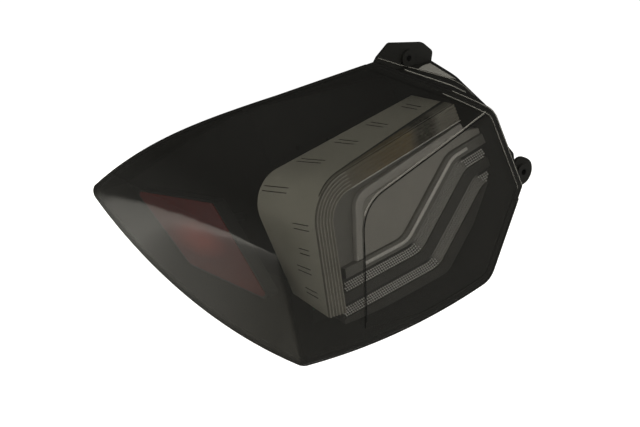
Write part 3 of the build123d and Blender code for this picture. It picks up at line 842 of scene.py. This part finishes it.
class Scatter(PieceTree):
    """One small moulded prism on every point."""

    sizes = (
        ("Radius", "NodeSocketFloat"),
        ("Tip", "NodeSocketFloat"),
        ("Height", "NodeSocketFloat"),
        ("Sides", "NodeSocketInt"),
        ("Turn", "NodeSocketVector"),
    )

    def shape(self, wiring: Wiring, sizes: bpy.types.Node) -> bpy.types.NodeSocket:
        """Stands a prism on every point.

        Args:
            wiring: the tree's wiring.
            sizes: the group input node.

        Returns:
            The socket that gives the prisms.
        """
        prism = wiring.node("GeometryNodeMeshCone")
        turn = wiring.node("FunctionNodeEulerToRotation")
        spread = wiring.node("GeometryNodeInstanceOnPoints")
        wiring.join(
            (sizes, "Radius", prism, "Radius Bottom"),
            (sizes, "Tip", prism, "Radius Top"),
            (sizes, "Height", prism, "Depth"),
            (sizes, "Sides", prism, "Vertices"),
            (sizes, "Turn", turn, "Euler"),
            (sizes, "Geometry", spread, "Points"),
            (prism, "Mesh", spread, "Instance"),
            (turn, "Rotation", spread, "Rotation"),
        )
        return spread.outputs["Instances"]


def surface_of(node: str) -> BVHTree:
    """Makes a CAD node's surface ready for casting rays at it.

    Args:
        node: the CAD node's name.

    Returns:
        The surface as a search tree.
    """
    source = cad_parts[node].data
    source.calc_loop_triangles()
    triangles = [t.vertices for t in source.loop_triangles]
    return BVHTree.FromPolygons([v.co for v in source.vertices], triangles)


def arc(before: Vector, corner: Vector, after: Vector, radius: float, count: int) -> list[Vector]:
    """Samples the rounding of one corner.

    Args:
        before: the point before the corner.
        corner: the corner.
        after: the point after it.
        radius: the rounding's radius.
        count: the number of steps.

    Returns:
        The points from the start of the rounding to its end.
    """
    come, leave = (corner - before).normalized(), (after - corner).normalized()
    turn = come.angle(leave)
    side = (leave - come * come.dot(leave)).normalized()
    start = corner - come * radius * math.tan(turn / 2)
    end = corner + leave * radius * math.tan(turn / 2)
    swings = (turn * i / count for i in range(1, count))
    bend = [start + come * radius * math.sin(s) + side * radius * (1 - math.cos(s)) for s in swings]
    return [start, *bend, end]


def rounded(corners: Sequence[Pair], radii: Sequence[float], step: float = 3.0) -> list[Vector]:
    """Samples a path of straight runs with rounded corners.

    Args:
        corners: the path's corner points in millimetres.
        radii: rounding at each inner corner.
        step: rough spacing of the samples.

    Returns:
        The points of the path.
    """
    points = [Vector((*c, 0.0)) for c in corners]
    made = [points[0]]
    for before, corner, after, radius in zip(points, points[1:], points[2:], radii):
        turn = (corner - before).angle(after - corner)
        start, *bend = arc(before, corner, after, radius, max(3, int(radius * turn / (0.5 * step))))
        made += straight(made[-1], start, step) + bend
    return made + straight(made[-1], points[-1], step)


def straight(start: Vector, end: Vector, step: float) -> list[Vector]:
    """Samples a straight run, without its first point.

    Args:
        start: where it starts.
        end: where it ends.
        step: rough spacing of the samples.

    Returns:
        The points after the first.
    """
    count = max(1, int((end - start).length / step))
    return [start.lerp(end, (i + 1) / count) for i in range(count)]


def beside(path: Sequence[Vector], gap: float) -> list[Vector]:
    """Moves a flat path sideways, to the right of its run.

    Args:
        path: the path's points.
        gap: how far, in millimetres.

    Returns:
        The moved points.
    """
    made = []
    for i, point in enumerate(path):
        run = (path[min(i + 1, len(path) - 1)] - path[max(i - 1, 0)]).normalized()
        made.append(point + Vector((run.y, -run.x, 0.0)) * gap)
    return made


def evenly(path: Sequence[Vector], pitch: float, lead: float) -> Iterator[Vector]:
    """Walks a path in equal steps.

    Args:
        path: the path's points.
        pitch: the step's length.
        lead: how far along the first step falls.

    Returns:
        The points met.
    """
    left = lead
    for start, end in zip(path, path[1:]):
        length = (end - start).length
        while left <= length:
            yield start.lerp(end, left / length)
            left += pitch
        left -= length


@dataclass(frozen=True)
class WaveCourse:
    """Course of the S ridges on the rear face, in millimetres."""

    low: Pair = (148.0, 91.5)
    high: Pair = (213.0, 164.0)
    end: Pair = (284.0, 185.0)
    slope: float = 0.225
    shift: float = 1.15
    bend: float = 26.0
    drops: Pair = (-80.0, 160.0)
    halvings: int = 24

    def path(self, drop: float, start: float = 76.0) -> list[Vector]:
        """Samples the course, lowered and moved inboard.

        Args:
            drop: how far it is lowered.
            start: where it starts across the face.

        Returns:
            The points on the rear face.
        """
        corners = [(x + self.shift * drop, y - drop) for x, y in (self.low, self.high, self.end)]
        foot = (start, corners[0][1] - self.slope * (corners[0][0] - start))
        return rounded((foot, *corners), (self.bend, self.bend))

    def drop_at(self, across: float, up: float) -> float:
        """Tells how far below the first ridge a place lies.

        Args:
            across: millimetres across the rear face.
            up: millimetres up the face.

        Returns:
            The drop of the course through that place.
        """
        rise = (self.high[1] - self.low[1]) / (self.high[0] - self.low[0])
        last = (self.end[1] - self.high[1]) / (self.end[0] - self.high[0])
        least, most = self.drops
        for _ in range(self.halvings):
            drop = (least + most) / 2
            x = across - self.shift * drop
            crest = self.low[1] + self.slope * min(x - self.low[0], 0.0)
            crest += rise * min(max(x - self.low[0], 0.0), self.high[0] - self.low[0])
            crest += last * max(x - self.high[0], 0.0)
            if up + drop < crest:
                least = drop
            else:
                most = drop
        return (least + most) / 2


WAVE_COURSE = WaveCourse()


@dataclass(frozen=True)
class SteepRun:
    """Steep run between the bends of every S course, measured along a line across all of them."""

    across: Vector = REAR.along + REAR.rise * WAVE_COURSE.shift
    lead: float = 6.0

    @property
    def ends(self) -> Pair:
        """Finds where the steep run starts and ends.

        Returns:
            Both ends in millimetres from the corner.
        """
        bends = (WAVE_COURSE.low, WAVE_COURSE.high)
        low, high = (x + self.lead + WAVE_COURSE.shift * y for x, y in bends)
        return low, high

    def holds(self, across: float, up: float) -> bool:
        """Tells whether a place on the rear face lies in the steep run."""
        return self.ends[0] < across + WAVE_COURSE.shift * up < self.ends[1]


STEEP = SteepRun()


@dataclass(frozen=True)
class PlateFinish(MouldedFinish):
    """Reflex plate: dark between the bright prisms and paler along the steep run."""

    pale: Colour = (0.36, 0.35, 0.33)
    fade: float = 6.0

    def surface(self, wiring: Wiring) -> tuple[bpy.types.Node, bpy.types.Node]:
        """Adds the pale run to the moulded surface.

        Args:
            wiring: the material's wiring.

        Returns:
            The shader node and the coordinate node.
        """
        shader, place = super().surface(wiring)
        course = wiring.node("ShaderNodeVectorMath", {1: STEEP.across}, operation="DOT_PRODUCT")
        start, end = (edge + CORNER.dot(STEEP.across) for edge in STEEP.ends)
        rise, fall = (((edge - self.fade) * MM, (edge + self.fade) * MM) for edge in (start, end))
        wiring.link(place.outputs["Object"], course.inputs[0])
        wiring.overlay(shader, self.pale, wiring.window(course.outputs["Value"], rise, fall))
        return shader, place


REFLEX = PlateFinish("reflex_plate", Slot.REFLEX, (0.06, 0.058, 0.055), (0.04, 0.039, 0.037), (0.3, 0.45))


@dataclass
class PrismField:
    """Rows of small prisms moulded along the lower part of a reflex plate."""

    node: str
    scatter: Scatter
    drops: Pair
    pitch: float = 2.7
    rows: int = 4
    height: float = 1.1
    foot: float = 0.4
    tip: float = 0.28
    corners: int = 6
    start_depth: float = 5.0
    level: float = 0.99

    def lattice(self, lit: bool) -> Iterator[Vector]:
        """Finds the honeycomb places that lie wholly on the plate's face.

        Args:
            lit: True for the bright runs at both ends, False for the steep run between them.

        Returns:
            The points in metres.
        """
        plate = surface_of(self.node)
        margin = 0.5 * self.pitch
        for row in range(self.rows):
            drop = self.drops[0] + (self.drops[1] - self.drops[0]) * row / (self.rows - 1)
            lead = 0.5 * self.pitch * (row % 2)
            for place in evenly(WAVE_COURSE.path(drop), self.pitch, lead):
                if STEEP.holds(place.x, place.y) == lit:
                    continue
                found = [
                    plate.ray_cast(REAR.point(place.x + dx, place.y + dy, self.start_depth), -REAR.normal)
                    for dx, dy in ((0, 0), (margin, 0), (-margin, 0), (0, margin), (0, -margin))
                ]
                if all(f[0] is not None and f[1].dot(REAR.normal) > self.level for f in found):
                    yield found[0][0]

    def build(self) -> None:
        """Moulds the prisms on the plate in a bright and a dim copy of one finish: a painted glint on the
        runs at both ends, painted shade along the steep run.
        """
        for name, lit, finish in (("_prisms", True, PRISMS_LIT), ("_shaded_prisms", False, PRISMS_SHADED)):
            piece = self.scatter.run(
                self.node + name,
                [[point] for point in self.lattice(lit)],
                finish,
                {
                    "Radius": self.foot * self.pitch * MM,
                    "Tip": self.tip * self.pitch * MM,
                    "Height": self.height * MM,
                    "Sides": self.corners,
                    "Turn": REAR.turn,
                },
            )
            hand_over(piece, finish.slot)


class LensPart(IntEnum):
    """Parts of the lens, by the number of their finish."""

    SKIN = 0
    RIM = 1
    # The pane's walls carry painted light: a painted highlight up the arm, painted shade down the leg.
    STEP_HIGHLIGHT = 2
    STEP_SHADE = 3


@dataclass
class LensShell:
    """One-piece smoked lens with a raised pane, and the seal under its rim.

    The sizes from upright to deck_cut tell the parts of the lens apart by the way that their faces look.
    """

    bead: Bead
    crease: tuple[Pair, ...] = ((74.5, 26.0), (86.0, 139.5), (246.0, 203.0))
    crease_radius: float = 44.0
    crease_turn: float = 128.0
    tip_start: float = 285.0
    foot_top: float = 30.0
    rim: tuple[Pair, ...] = ((200.0, 236.0), (260.0, 199.0), (284.0, 118.0))
    rim_radius: float = 22.0
    rim_gaps: tuple[tuple[str, float], ...] = (("rim_highlight_outer", 0.8), ("rim_highlight_inner", 7.4))
    sealant: tuple[Triple, ...] = ((66.9, 176.7, 195.4), (77.9, 178.5, 199.4))
    standoff: float = 30.0
    run_up: float = 200.0
    facing: float = 0.3
    upright: float = 0.01
    square: float = 0.003
    forward: float = 0.2
    sideways: float = 0.5
    downward: float = 0.9
    parallel: float = 0.999
    deck_cut: Triple = (0.0, 0.912, -0.4104)

    def part_of(self, face: bpy.types.MeshPolygon) -> LensPart:
        """Tells which part of the lens a face belongs to.

        Args:
            face: a face of the lens.

        Returns:
            The smoked skin, the cut rim, or a wall of the raised pane: painted highlight on the walls up the
            arm, painted shade on the walls down the leg.
        """
        offset, normal = face.center / MM - CORNER, face.normal
        if abs(normal.dot(REAR.normal)) < self.upright:
            return LensPart.STEP_HIGHLIGHT if offset.dot(REAR.rise) > self.crease_turn else LensPart.STEP_SHADE
        cut = (
            min(abs(normal.x), abs(normal.y)) < self.square
            or (abs(normal.z) < self.square and normal.y > self.forward)
            or (abs(normal.x) < self.sideways and offset.y > self.tip_start)
            or (normal.z < -self.downward and offset.z < self.foot_top)
            or abs(normal.dot(Vector(self.deck_cut))) > self.parallel
        )
        return LensPart.RIM if cut else LensPart.SKIN

    def on_skin(self, points: Sequence[Vector], towards: Vector, lift: float) -> list[Vector]:
        """Drops points on the outside of the lens.

        Args:
            points: start points in metres.
            towards: the way they drop.
            lift: how far they stay proud, in millimetres.

        Returns:
            The points that land on faces turned towards them.
        """
        skin = surface_of("outer_lens")
        hits = (skin.ray_cast(p, towards) for p in points)
        return [
            place + normal * lift * MM
            for place, normal, _, _ in hits
            if place is not None and normal.dot(towards) < -self.facing
        ]

    def creases(self) -> None:
        """Lays a painted highlight along the raised pane's edge and a painted shade line beside it."""
        path = rounded(self.crease, (self.crease_radius,))
        for name, gap, lift, radius, finish, low in (
            ("pane_edge_highlight", -0.4, 0.0, 0.55, LENS_HIGHLIGHT, self.crease_turn),
            ("pane_shade_line", 1.3, -0.3, 0.7, LENS_SHADE, 0.0),
        ):
            starts = [REAR.point(p.x, p.y, -self.standoff) for p in beside(path, gap) if p.y > low]
            self.bead.lay(name, [self.on_skin(starts, -REAR.normal, lift)], finish, radius)

    def rims(self) -> None:
        """Lays two painted highlight lines along the boot side of the lens."""
        path = rounded(self.rim, (self.rim_radius,))
        forward = Vector((0, 1, 0))
        for name, gap in self.rim_gaps:
            starts = [from_corner((p.x, -self.run_up, p.y)) for p in beside(path, gap)]
            self.bead.lay(name, [self.on_skin(starts, forward, lift=-0.1)], LENS_HIGHLIGHT, radius=0.4)

    def build(self) -> None:
        """Builds the lens with its edges, and swells its seal until it fills the joint under the rim."""
        piece = place("smoked_lens", exact_copy("outer_lens"))
        paint(piece.data, LENS, LENS_RIM, LENS_HIGHLIGHT, LENS_SHADE)
        for face in piece.data.polygons:
            face.material_index = self.part_of(face)
        hand_over(piece, LENS.slot, "outer_lens")
        self.creases()
        self.rims()
        self.bead.lay("corner_sealant", [[from_corner(p) for p in self.sealant]], BLACK_RUBBER, radius=1.6)
        reskinned("lens_sealant", "lens_seal", BLACK_RUBBER, swell=0.28)


@dataclass
class HousingTub:
    """Black tub behind the lens with its fixings, gasket, vents and connector."""

    bead: Bead
    shelf_base: float = 183.9
    shelf_slope: float = 0.194
    border: tuple[Triple, ...] = ((222.8, 148.0, 229.4), (253.9, 148.0, 216.0))
    edge: tuple[Pair, ...] = ((264.2, 146.9), (292.1, 98.3), (281.7, 64.8))
    ledge: tuple[Pair, ...] = ((255.8, 142.9), (277.0, 93.0), (279.1, 75.1))
    bend: float = 42.0
    facet: tuple[Pair, ...] = (
        (271.0, 138.6), (281.2, 142.2), (292.8, 143.6), (292.0, 103.4), (287.6, 107.9), (279.9, 124.4)
    )

    def on_shelf(self, across: float, forward: float) -> Vector:
        """Point of the frame on the top of the shelf.

        Args:
            across: millimetres inboard from the corner.
            forward: millimetres forward from the corner.

        Returns:
            The point in metres.
        """
        return from_corner((across, forward, self.shelf_base + self.shelf_slope * forward))

    def shelf(self) -> None:
        """Lays a painted highlight along the shelf's edge, and a painted reflection on the ledge beside it
        and on the smooth facet at its end.
        """
        edge, ledge = (
            [self.on_shelf(p.x, p.y) for p in rounded(run, (self.bend,), step=6.0)]
            for run in (self.edge, self.ledge)
        )
        border = [from_corner(p) for p in self.border]
        self.bead.lay("shelf_edge_highlight", [border + edge], LENS_HIGHLIGHT, radius=0.45)
        self.bead.lay("shelf_ledge", [ledge], SHELF_REFLECTION, radius=0.6)
        facet = [self.on_shelf(*p) for p in self.facet]
        sheet("shelf_reflection_facet", facet, [range(len(facet))], SHELF_REFLECTION)

    def build(self) -> None:
        """Builds the tub and dresses its fittings."""
        reskinned("housing_tub", "rear_housing", BLACK_GRAINED)
        self.shelf()
        dress(BLACK_SATIN, "inner_bezel")
        dress(FOAM, "body_gasket")
        dress(SOCKET, "connector_socket")
        dress(BRASS, "connector_terminals")
        dress(BLACK_RUBBER, "vent_caps")
        dress(DARK_ZINC, "ear_bushings")
        dress(NYLON, "locating_pin_main", "locating_pin_side")


@dataclass
class CLight:
    """Silver C wall with painted shade for its slots, and the ribbed guide along its front edge."""

    bead: Bead
    front: tuple[Pair, ...] = ((47.5, 34.0), (43.5, 159.5), (220.0, 214.5))
    back: tuple[Pair, ...] = ((49.5, 48.0), (12.0, 166.0), (218.0, 221.0))
    radii: Pair = (50.0, 36.0)
    depths: Pair = (22.0, 88.0)
    slots: tuple[Triple, ...] = (
        (0.93, 0.45, 0.8),
        (0.80, 0.5, 0.85),
        (0.68, 0.5, 0.85),
        (0.55, 0.5, 0.9),
        (0.40, 0.55, 0.95),
        (0.86, 0.02, 0.1),
        (0.71, 0.02, 0.12),
        (0.57, 0.03, 0.12),
        (0.29, 0.12, 0.4),
        (0.20, 0.2, 0.4),
        (0.13, 0.25, 0.55),
        (0.05, 0.2, 0.5),
    )
    slot_gap: float = 0.018
    slot_steps: int = 6
    leg_steps: int = 24
    bend_steps: int = 16
    arm_steps: int = 40
    strip_start: float = 0.4
    strip_rows: int = 59
    strip_columns: int = 3
    flank: Pair = (0.01, 0.17)
    # Width of the painted gap shadow along the arm.
    gap_shade: Pair = (0.012, 0.068)
    rib_share: float = 0.62
    rib_count: int = 6
    rib_lead: float = 0.75
    rib_pitch: float = 3.5
    rib_depth: float = 18.0
    edge_gap: float = 18.4
    edge_depth: float = 18.1

    @cached_property
    def runs(self) -> tuple[list[Vector], list[Vector]]:
        """Samples the wall's front and back edges, point for point.

        Returns:
            The front and the back points on the rear face.
        """
        made = []
        for corners, radius in zip((self.front, self.back), self.radii):
            foot, knee, end = (Vector((*c, 0.0)) for c in corners)
            bend = arc(foot, knee, end, radius, self.bend_steps)
            leg = [foot.lerp(bend[0], i / self.leg_steps) for i in range(self.leg_steps)]
            arm = [bend[-1].lerp(end, (i + 1) / self.arm_steps) for i in range(self.arm_steps)]
            made.append(leg + bend + arm)
        return made[0], made[1]

    def wall(self, along: float, inward: float, lift: float = 0.0) -> Vector:
        """Point on the outside of the silver wall.

        Args:
            along: share of the run from foot to end.
            inward: share of the depth from front to back.
            lift: millimetres off the wall.

        Returns:
            The point in metres.
        """
        front, back = self.runs
        place_along = along * (len(front) - 1)
        low = min(int(place_along), len(front) - 2)
        share = place_along - low
        flat = front[low].lerp(front[low + 1], share).lerp(back[low].lerp(back[low + 1], share), inward)
        run = front[low + 1] - front[low]
        off = Vector((-run.y, run.x, 0.0)).normalized() * lift
        depth = self.depths[0] + (self.depths[1] - self.depths[0]) * inward
        return REAR.point(flat.x + off.x, flat.y + off.y, depth)

    def ticks(self) -> None:
        """Lays pairs of short dark beads in the wall: painted shade that stands for slots."""
        paths = []
        for along, start, end in self.slots:
            reach = [start + (end - start) * i / self.slot_steps for i in range(self.slot_steps + 1)]
            for twin in (0.0, self.slot_gap):
                paths.append([self.wall(along + twin, r, lift=-0.1) for r in reach])
        self.bead.lay("silver_slot_shadows", paths, SLOT_SHADOW, radius=0.55, sides=6)

    def strips(self) -> None:
        """Lays the guide's flank and, beyond it on the wall, a black strip of painted shadow for the gap
        between wall and guide; both widen along the arm.
        """
        rows, columns = self.strip_rows, self.strip_columns
        stride = columns + 1
        firsts = [r * stride + j for r in range(rows) for j in range(columns)]
        faces = [(a, a + 1, a + stride + 1, a + stride) for a in firsts]
        flank_points, shadow_points = [], []
        for i in range(rows + 1):
            share = i / rows
            along = self.strip_start + (1.0 - self.strip_start) * share
            flank = self.flank[0] + self.flank[1] * share
            gap_shade = self.gap_shade[0] + self.gap_shade[1] * share
            for points, start, width in ((flank_points, 0.0, flank), (shadow_points, flank, gap_shade)):
                across = (start + width * j / columns for j in range(columns + 1))
                points += [self.wall(along, inward, lift=0.25) for inward in across]
        sheet("guide_flank", flank_points, faces, GUIDE)
        sheet("guide_gap_shadow", shadow_points, faces, GAP_SHADOW)

    def ribs(self) -> None:
        """Rounds the tops of the guide's ribs over the leg and the knee, painted paler than the guide as a
        highlight, and lays a painted highlight along its inner edge.
        """
        course = rounded(self.front, (self.radii[0],), step=4.0)
        leg = course[: int(self.rib_share * len(course))]
        gaps = (self.rib_lead + self.rib_pitch * i for i in range(self.rib_count))
        tops = [[REAR.point(p.x, p.y, self.rib_depth) for p in beside(leg, gap)] for gap in gaps]
        edge = [REAR.point(p.x, p.y, self.edge_depth) for p in beside(course, self.edge_gap)]
        self.bead.lay("guide_ribs", tops, RIB_HIGHLIGHT, radius=0.6, sides=8)
        self.bead.lay("guide_edge_highlight", [edge], RIDGE_HIGHLIGHT, radius=0.5, sides=8)

    def build(self) -> None:
        """Builds the wall, the guide and the boards behind them."""
        reskinned("silver_wall", "silver_reflector", SILVER)
        self.ticks()
        self.strips()
        softened("ribbed_light_guide", GUIDE, width=0.3)
        self.ribs()
        dress(BOARD, "guide_led_board")
        dress(LED, "guide_leds")


@dataclass
class CentreModule:
    """Grey channel, light pipe and centre panel inside the C."""

    def build(self) -> None:
        """Builds the panel's mouldings and dresses the stop lamp behind it."""
        softened("inner_reflector", GREY, width=0.5)
        softened("light_pipe", PIPE, width=1.4)
        softened("centre_panel", CENTRE, width=0.6)
        dress(BOARD, "stop_led_board")
        dress(LED, "stop_leds")


class RidgePart(IntEnum):
    """Parts of the S ridges, by the number of their finish."""

    BAND = 0
    FOOT = 1
    CREST = 2


@dataclass
class WaveModule:
    """S-shaped ridges with reflex plates sunk between them."""

    scatter: Scatter
    bead: Bead
    crest: Pair = (100.0, 238.0)
    crest_drop: float = 4.0
    crest_depth: float = 27.4
    foot_drop: float = 41.0
    plates: tuple[tuple[str, Pair], ...] = (
        ("reflex_band_upper", (13.5, 19.5)),
        ("reflex_band_middle", (34.5, 40.5)),
    )

    def part_of(self, face: bpy.types.MeshPolygon) -> RidgePart:
        """Tells which part of the ridges a face belongs to.

        Args:
            face: a face of the ridges.

        Returns:
            The dark foot, the pale part above the crest, or the bands between them.
        """
        offset = face.center / MM - CORNER
        drop = WAVE_COURSE.drop_at(offset.dot(REAR.along), offset.dot(REAR.rise))
        if drop > self.foot_drop:
            return RidgePart.FOOT
        return RidgePart.CREST if drop < self.crest_drop else RidgePart.BAND

    def build(self) -> None:
        """Builds the ridges and the prism plates."""
        ridges = softened("wave_reflector", WAVE, width=0.9)
        paint(ridges.data, WAVE, WAVE_DARK, WAVE_PALE)
        for face in ridges.data.polygons:
            face.material_index = self.part_of(face)
        start, end = self.crest
        course = (p for p in WAVE_COURSE.path(self.crest_drop, start) if p.x < end)
        crest = [REAR.point(p.x, p.y, self.crest_depth) for p in course]
        # The crest bead is a painted highlight along the S ridge.
        self.bead.lay("s_ridge", [crest], RIDGE_HIGHLIGHT, radius=1.9, sides=16)
        for band, drops in self.plates:
            dress(REFLEX, band)
            PrismField(band, self.scatter, drops).build()
        dress(WAVE_DARK, "reflex_band_lower")


@dataclass
class SideMarker:
    """Red side reflector in its dark tray."""

    def build(self) -> None:
        """Dresses the reflector, its tray and the lamp behind it."""
        dress(RED, "marker_reflex")
        dress(BLACK_SATIN, "marker_tray")
        dress(BOARD, "marker_led_board")
        dress(LED, "marker_leds")


@dataclass
class CarrierModule:
    """Plate that carries the rear modules, its screws and the driver board."""

    def build(self) -> None:
        """Dresses the plate and what is fixed to it."""
        dress(BLACK_SATIN, "carrier_plate")
        dress(STEEL, "module_screws")
        dress(BOARD, "driver_board")
        dress(CHIP, "driver_chips")


def aim(thing: bpy.types.Object, target: Vector, away: Vector, distance: float) -> None:
    """Stands a light or camera off from a point and turns it to face the point.

    Args:
        thing: the light or camera.
        target: the point.
        away: unit direction from the point to it.
        distance: metres between them.
    """
    thing.location = target + away * distance
    thing.rotation_mode = "QUATERNION"
    thing.rotation_quaternion = away.to_track_quat("Z", "Y")


def grey(level: float) -> tuple[float, float, float, float]:
    """Opaque grey of one level."""
    return level, level, level, 1.0


@dataclass(frozen=True)
class SoftLight:
    """Square soft light, whose level is the brightness of a white surface that faces it."""

    name: str
    towards: Triple
    size: float
    level: float
    distance: float = 2.2

    def hang(self, target: Vector, tint: Colour) -> None:
        """Hangs the light.

        Args:
            target: the point that it faces.
            tint: its colour.
        """
        data = bpy.data.lights.new(self.name, "AREA")
        data.shape = "SQUARE"
        data.size = self.size
        data.color = tint
        data.energy = self.level * (math.pi * self.distance) ** 2
        lamp = place(self.name, data)
        lamp.visible_glossy = False
        aim(lamp, target, Vector(self.towards).normalized(), self.distance)


@dataclass
class Studio:
    """Pale floor, soft lights, dim room and the camera."""

    target: Vector
    floor_drop: float = 0.6
    floor_size: float = 14.0
    floor_albedo: float = 0.3
    floor_across: Triple = (0.554, 1.0, 0.0)
    # Painted reflection: places across the floor and the brightness that mirror rays see there.
    painted_reflection_levels: tuple[Pair, ...] = (
        (0.1, 0.1), (0.18, 0.19), (0.25, 0.3), (0.4, 0.46),
        (0.46, 0.64), (0.52, 1.0), (0.68, 0.85), (0.75, 0.12),
    )
    zenith: float = 0.07
    horizon: float = 0.13
    haze_top: float = 0.45
    tint: Colour = (1.0, 0.975, 0.87)
    lights: tuple[SoftLight, ...] = (
        SoftLight("key", (-0.3, -0.8, 0.5), 1.4, 0.55),
        SoftLight("fill", (0.5, -0.8, 0.3), 1.6, 0.33),
        SoftLight("side", (-0.9, -0.25, 0.3), 1.6, 0.39),
        SoftLight("top", (0.2, 0.1, 1.0), 1.8, 0.08),
        SoftLight("back", (0.5, 1.0, 0.12), 1.6, 0.9),
    )
    azimuth: float = -40.0
    elevation: float = 21.0
    distance: float = 1.7
    focal: float = 95.6
    shift: Pair = (-0.0170, -0.0123)
    clip: Pair = (0.05, 60.0)

    def floor_finish(self) -> bpy.types.Material:
        """Makes a floor that shows white and takes shadows; to mirror rays it is graded from side to side, a
        painted reflection for the lens.

        Returns:
            The floor's material.
        """
        material, wiring, output = new_material("floor_white")
        path = wiring.node("ShaderNodeLightPath")
        spot = wiring.node("ShaderNodeTexCoord")
        band = wiring.node("ShaderNodeVectorMath", {1: self.floor_across}, operation="DOT_PRODUCT")
        fade = wiring.node("ShaderNodeValToRGB")
        while len(fade.color_ramp.elements) < len(self.painted_reflection_levels):
            fade.color_ramp.elements.new(1.0)
        for stop, (reach, level) in zip(fade.color_ramp.elements, self.painted_reflection_levels):
            stop.position = reach
            stop.color = grey(level)
        mirrored = wiring.node("ShaderNodeMath", operation="MULTIPLY")
        direct = wiring.node("ShaderNodeMath", operation="MAXIMUM")
        seen = wiring.node("ShaderNodeMath", operation="MAXIMUM")
        matt = wiring.node("ShaderNodeBsdfDiffuse", {"Color": grey(self.floor_albedo)})
        glow = wiring.node("ShaderNodeEmission", {"Color": grey(1.0)})
        both = wiring.node("ShaderNodeAddShader")
        wiring.join(
            (spot, "Object", band, 0),
            (band, "Value", fade, "Fac"),
            (fade, "Color", mirrored, 0),
            (path, "Is Glossy Ray", mirrored, 1),
            (path, "Is Camera Ray", direct, 0),
            (path, "Is Transmission Ray", direct, 1),
            (direct, 0, seen, 0),
            (mirrored, 0, seen, 1),
            (seen, 0, glow, "Strength"),
            (matt, 0, both, 0),
            (glow, 0, both, 1),
            (both, 0, output, "Surface"),
        )
        return material

    def floor(self) -> None:
        """Lays the white floor under the lamp."""
        mesh = bpy.data.meshes.new("floor")
        half = self.floor_size / 2
        low = CAD_BOX[0].z - self.floor_drop
        corners = [(x * half, y * half, low) for x, y in ((-1, -1), (1, -1), (1, 1), (-1, 1))]
        mesh.from_pydata(corners, [], [(0, 1, 2, 3)])
        mesh.materials.append(self.floor_finish())
        floor = place("floor", mesh)

    def surround(self) -> None:
        """Sets the dim room that the lens reflects."""
        world = bpy.data.worlds.new("room")
        bpy.context.scene.world = world
        world.use_nodes = True
        wiring = Wiring(world.node_tree)
        sky = world.node_tree.nodes["Background"]
        spot = wiring.node("ShaderNodeTexCoord")
        axes = wiring.node("ShaderNodeSeparateXYZ")
        path = wiring.node("ShaderNodeLightPath")
        shown = wiring.node("ShaderNodeMath", operation="MAXIMUM")
        fade = wiring.node(
            "ShaderNodeMapRange", {"From Max": self.haze_top, "To Min": self.horizon, "To Max": self.zenith}
        )
        wiring.join(
            (spot, "Generated", axes, "Vector"),
            (axes, "Z", fade, "Value"),
            (fade, "Result", shown, 0),
            (path, "Is Camera Ray", shown, 1),
            (shown, 0, sky, "Color"),
        )

    def camera(self) -> None:
        """Stands the camera at the photograph's viewpoint."""
        data = bpy.data.cameras.new("camera")
        data.lens = self.focal
        data.shift_x, data.shift_y = self.shift
        data.clip_start, data.clip_end = self.clip
        camera = place("camera", data)
        turn, tilt = math.radians(self.azimuth), math.radians(self.elevation)
        back = Vector((math.sin(turn) * math.cos(tilt), -math.cos(turn) * math.cos(tilt), math.sin(tilt)))
        aim(camera, self.target, back, self.distance)
        bpy.context.scene.camera = camera

    def build(self) -> None:
        """Sets up the whole studio."""
        bpy.context.scene.view_settings.view_transform = "Standard"
        self.floor()
        self.surround()
        for light in self.lights:
            light.hang(self.target, self.tint)
        self.camera()


def main() -> None:
    """Builds every sub-assembly in order and sets up the studio."""
    logging.basicConfig(level=logging.INFO, format="%(name)s %(message)s")
    scatter = Scatter("prism_scatter")
    bead = Bead("bead_sweep")
    for part in (
        LensShell(bead),
        HousingTub(bead),
        CLight(bead),
        CentreModule(),
        WaveModule(scatter, bead),
        SideMarker(),
        CarrierModule(),
        Studio(from_corner(MIDDLE)),
    ):
        part.build()


if __name__ == "__main__":
    main()
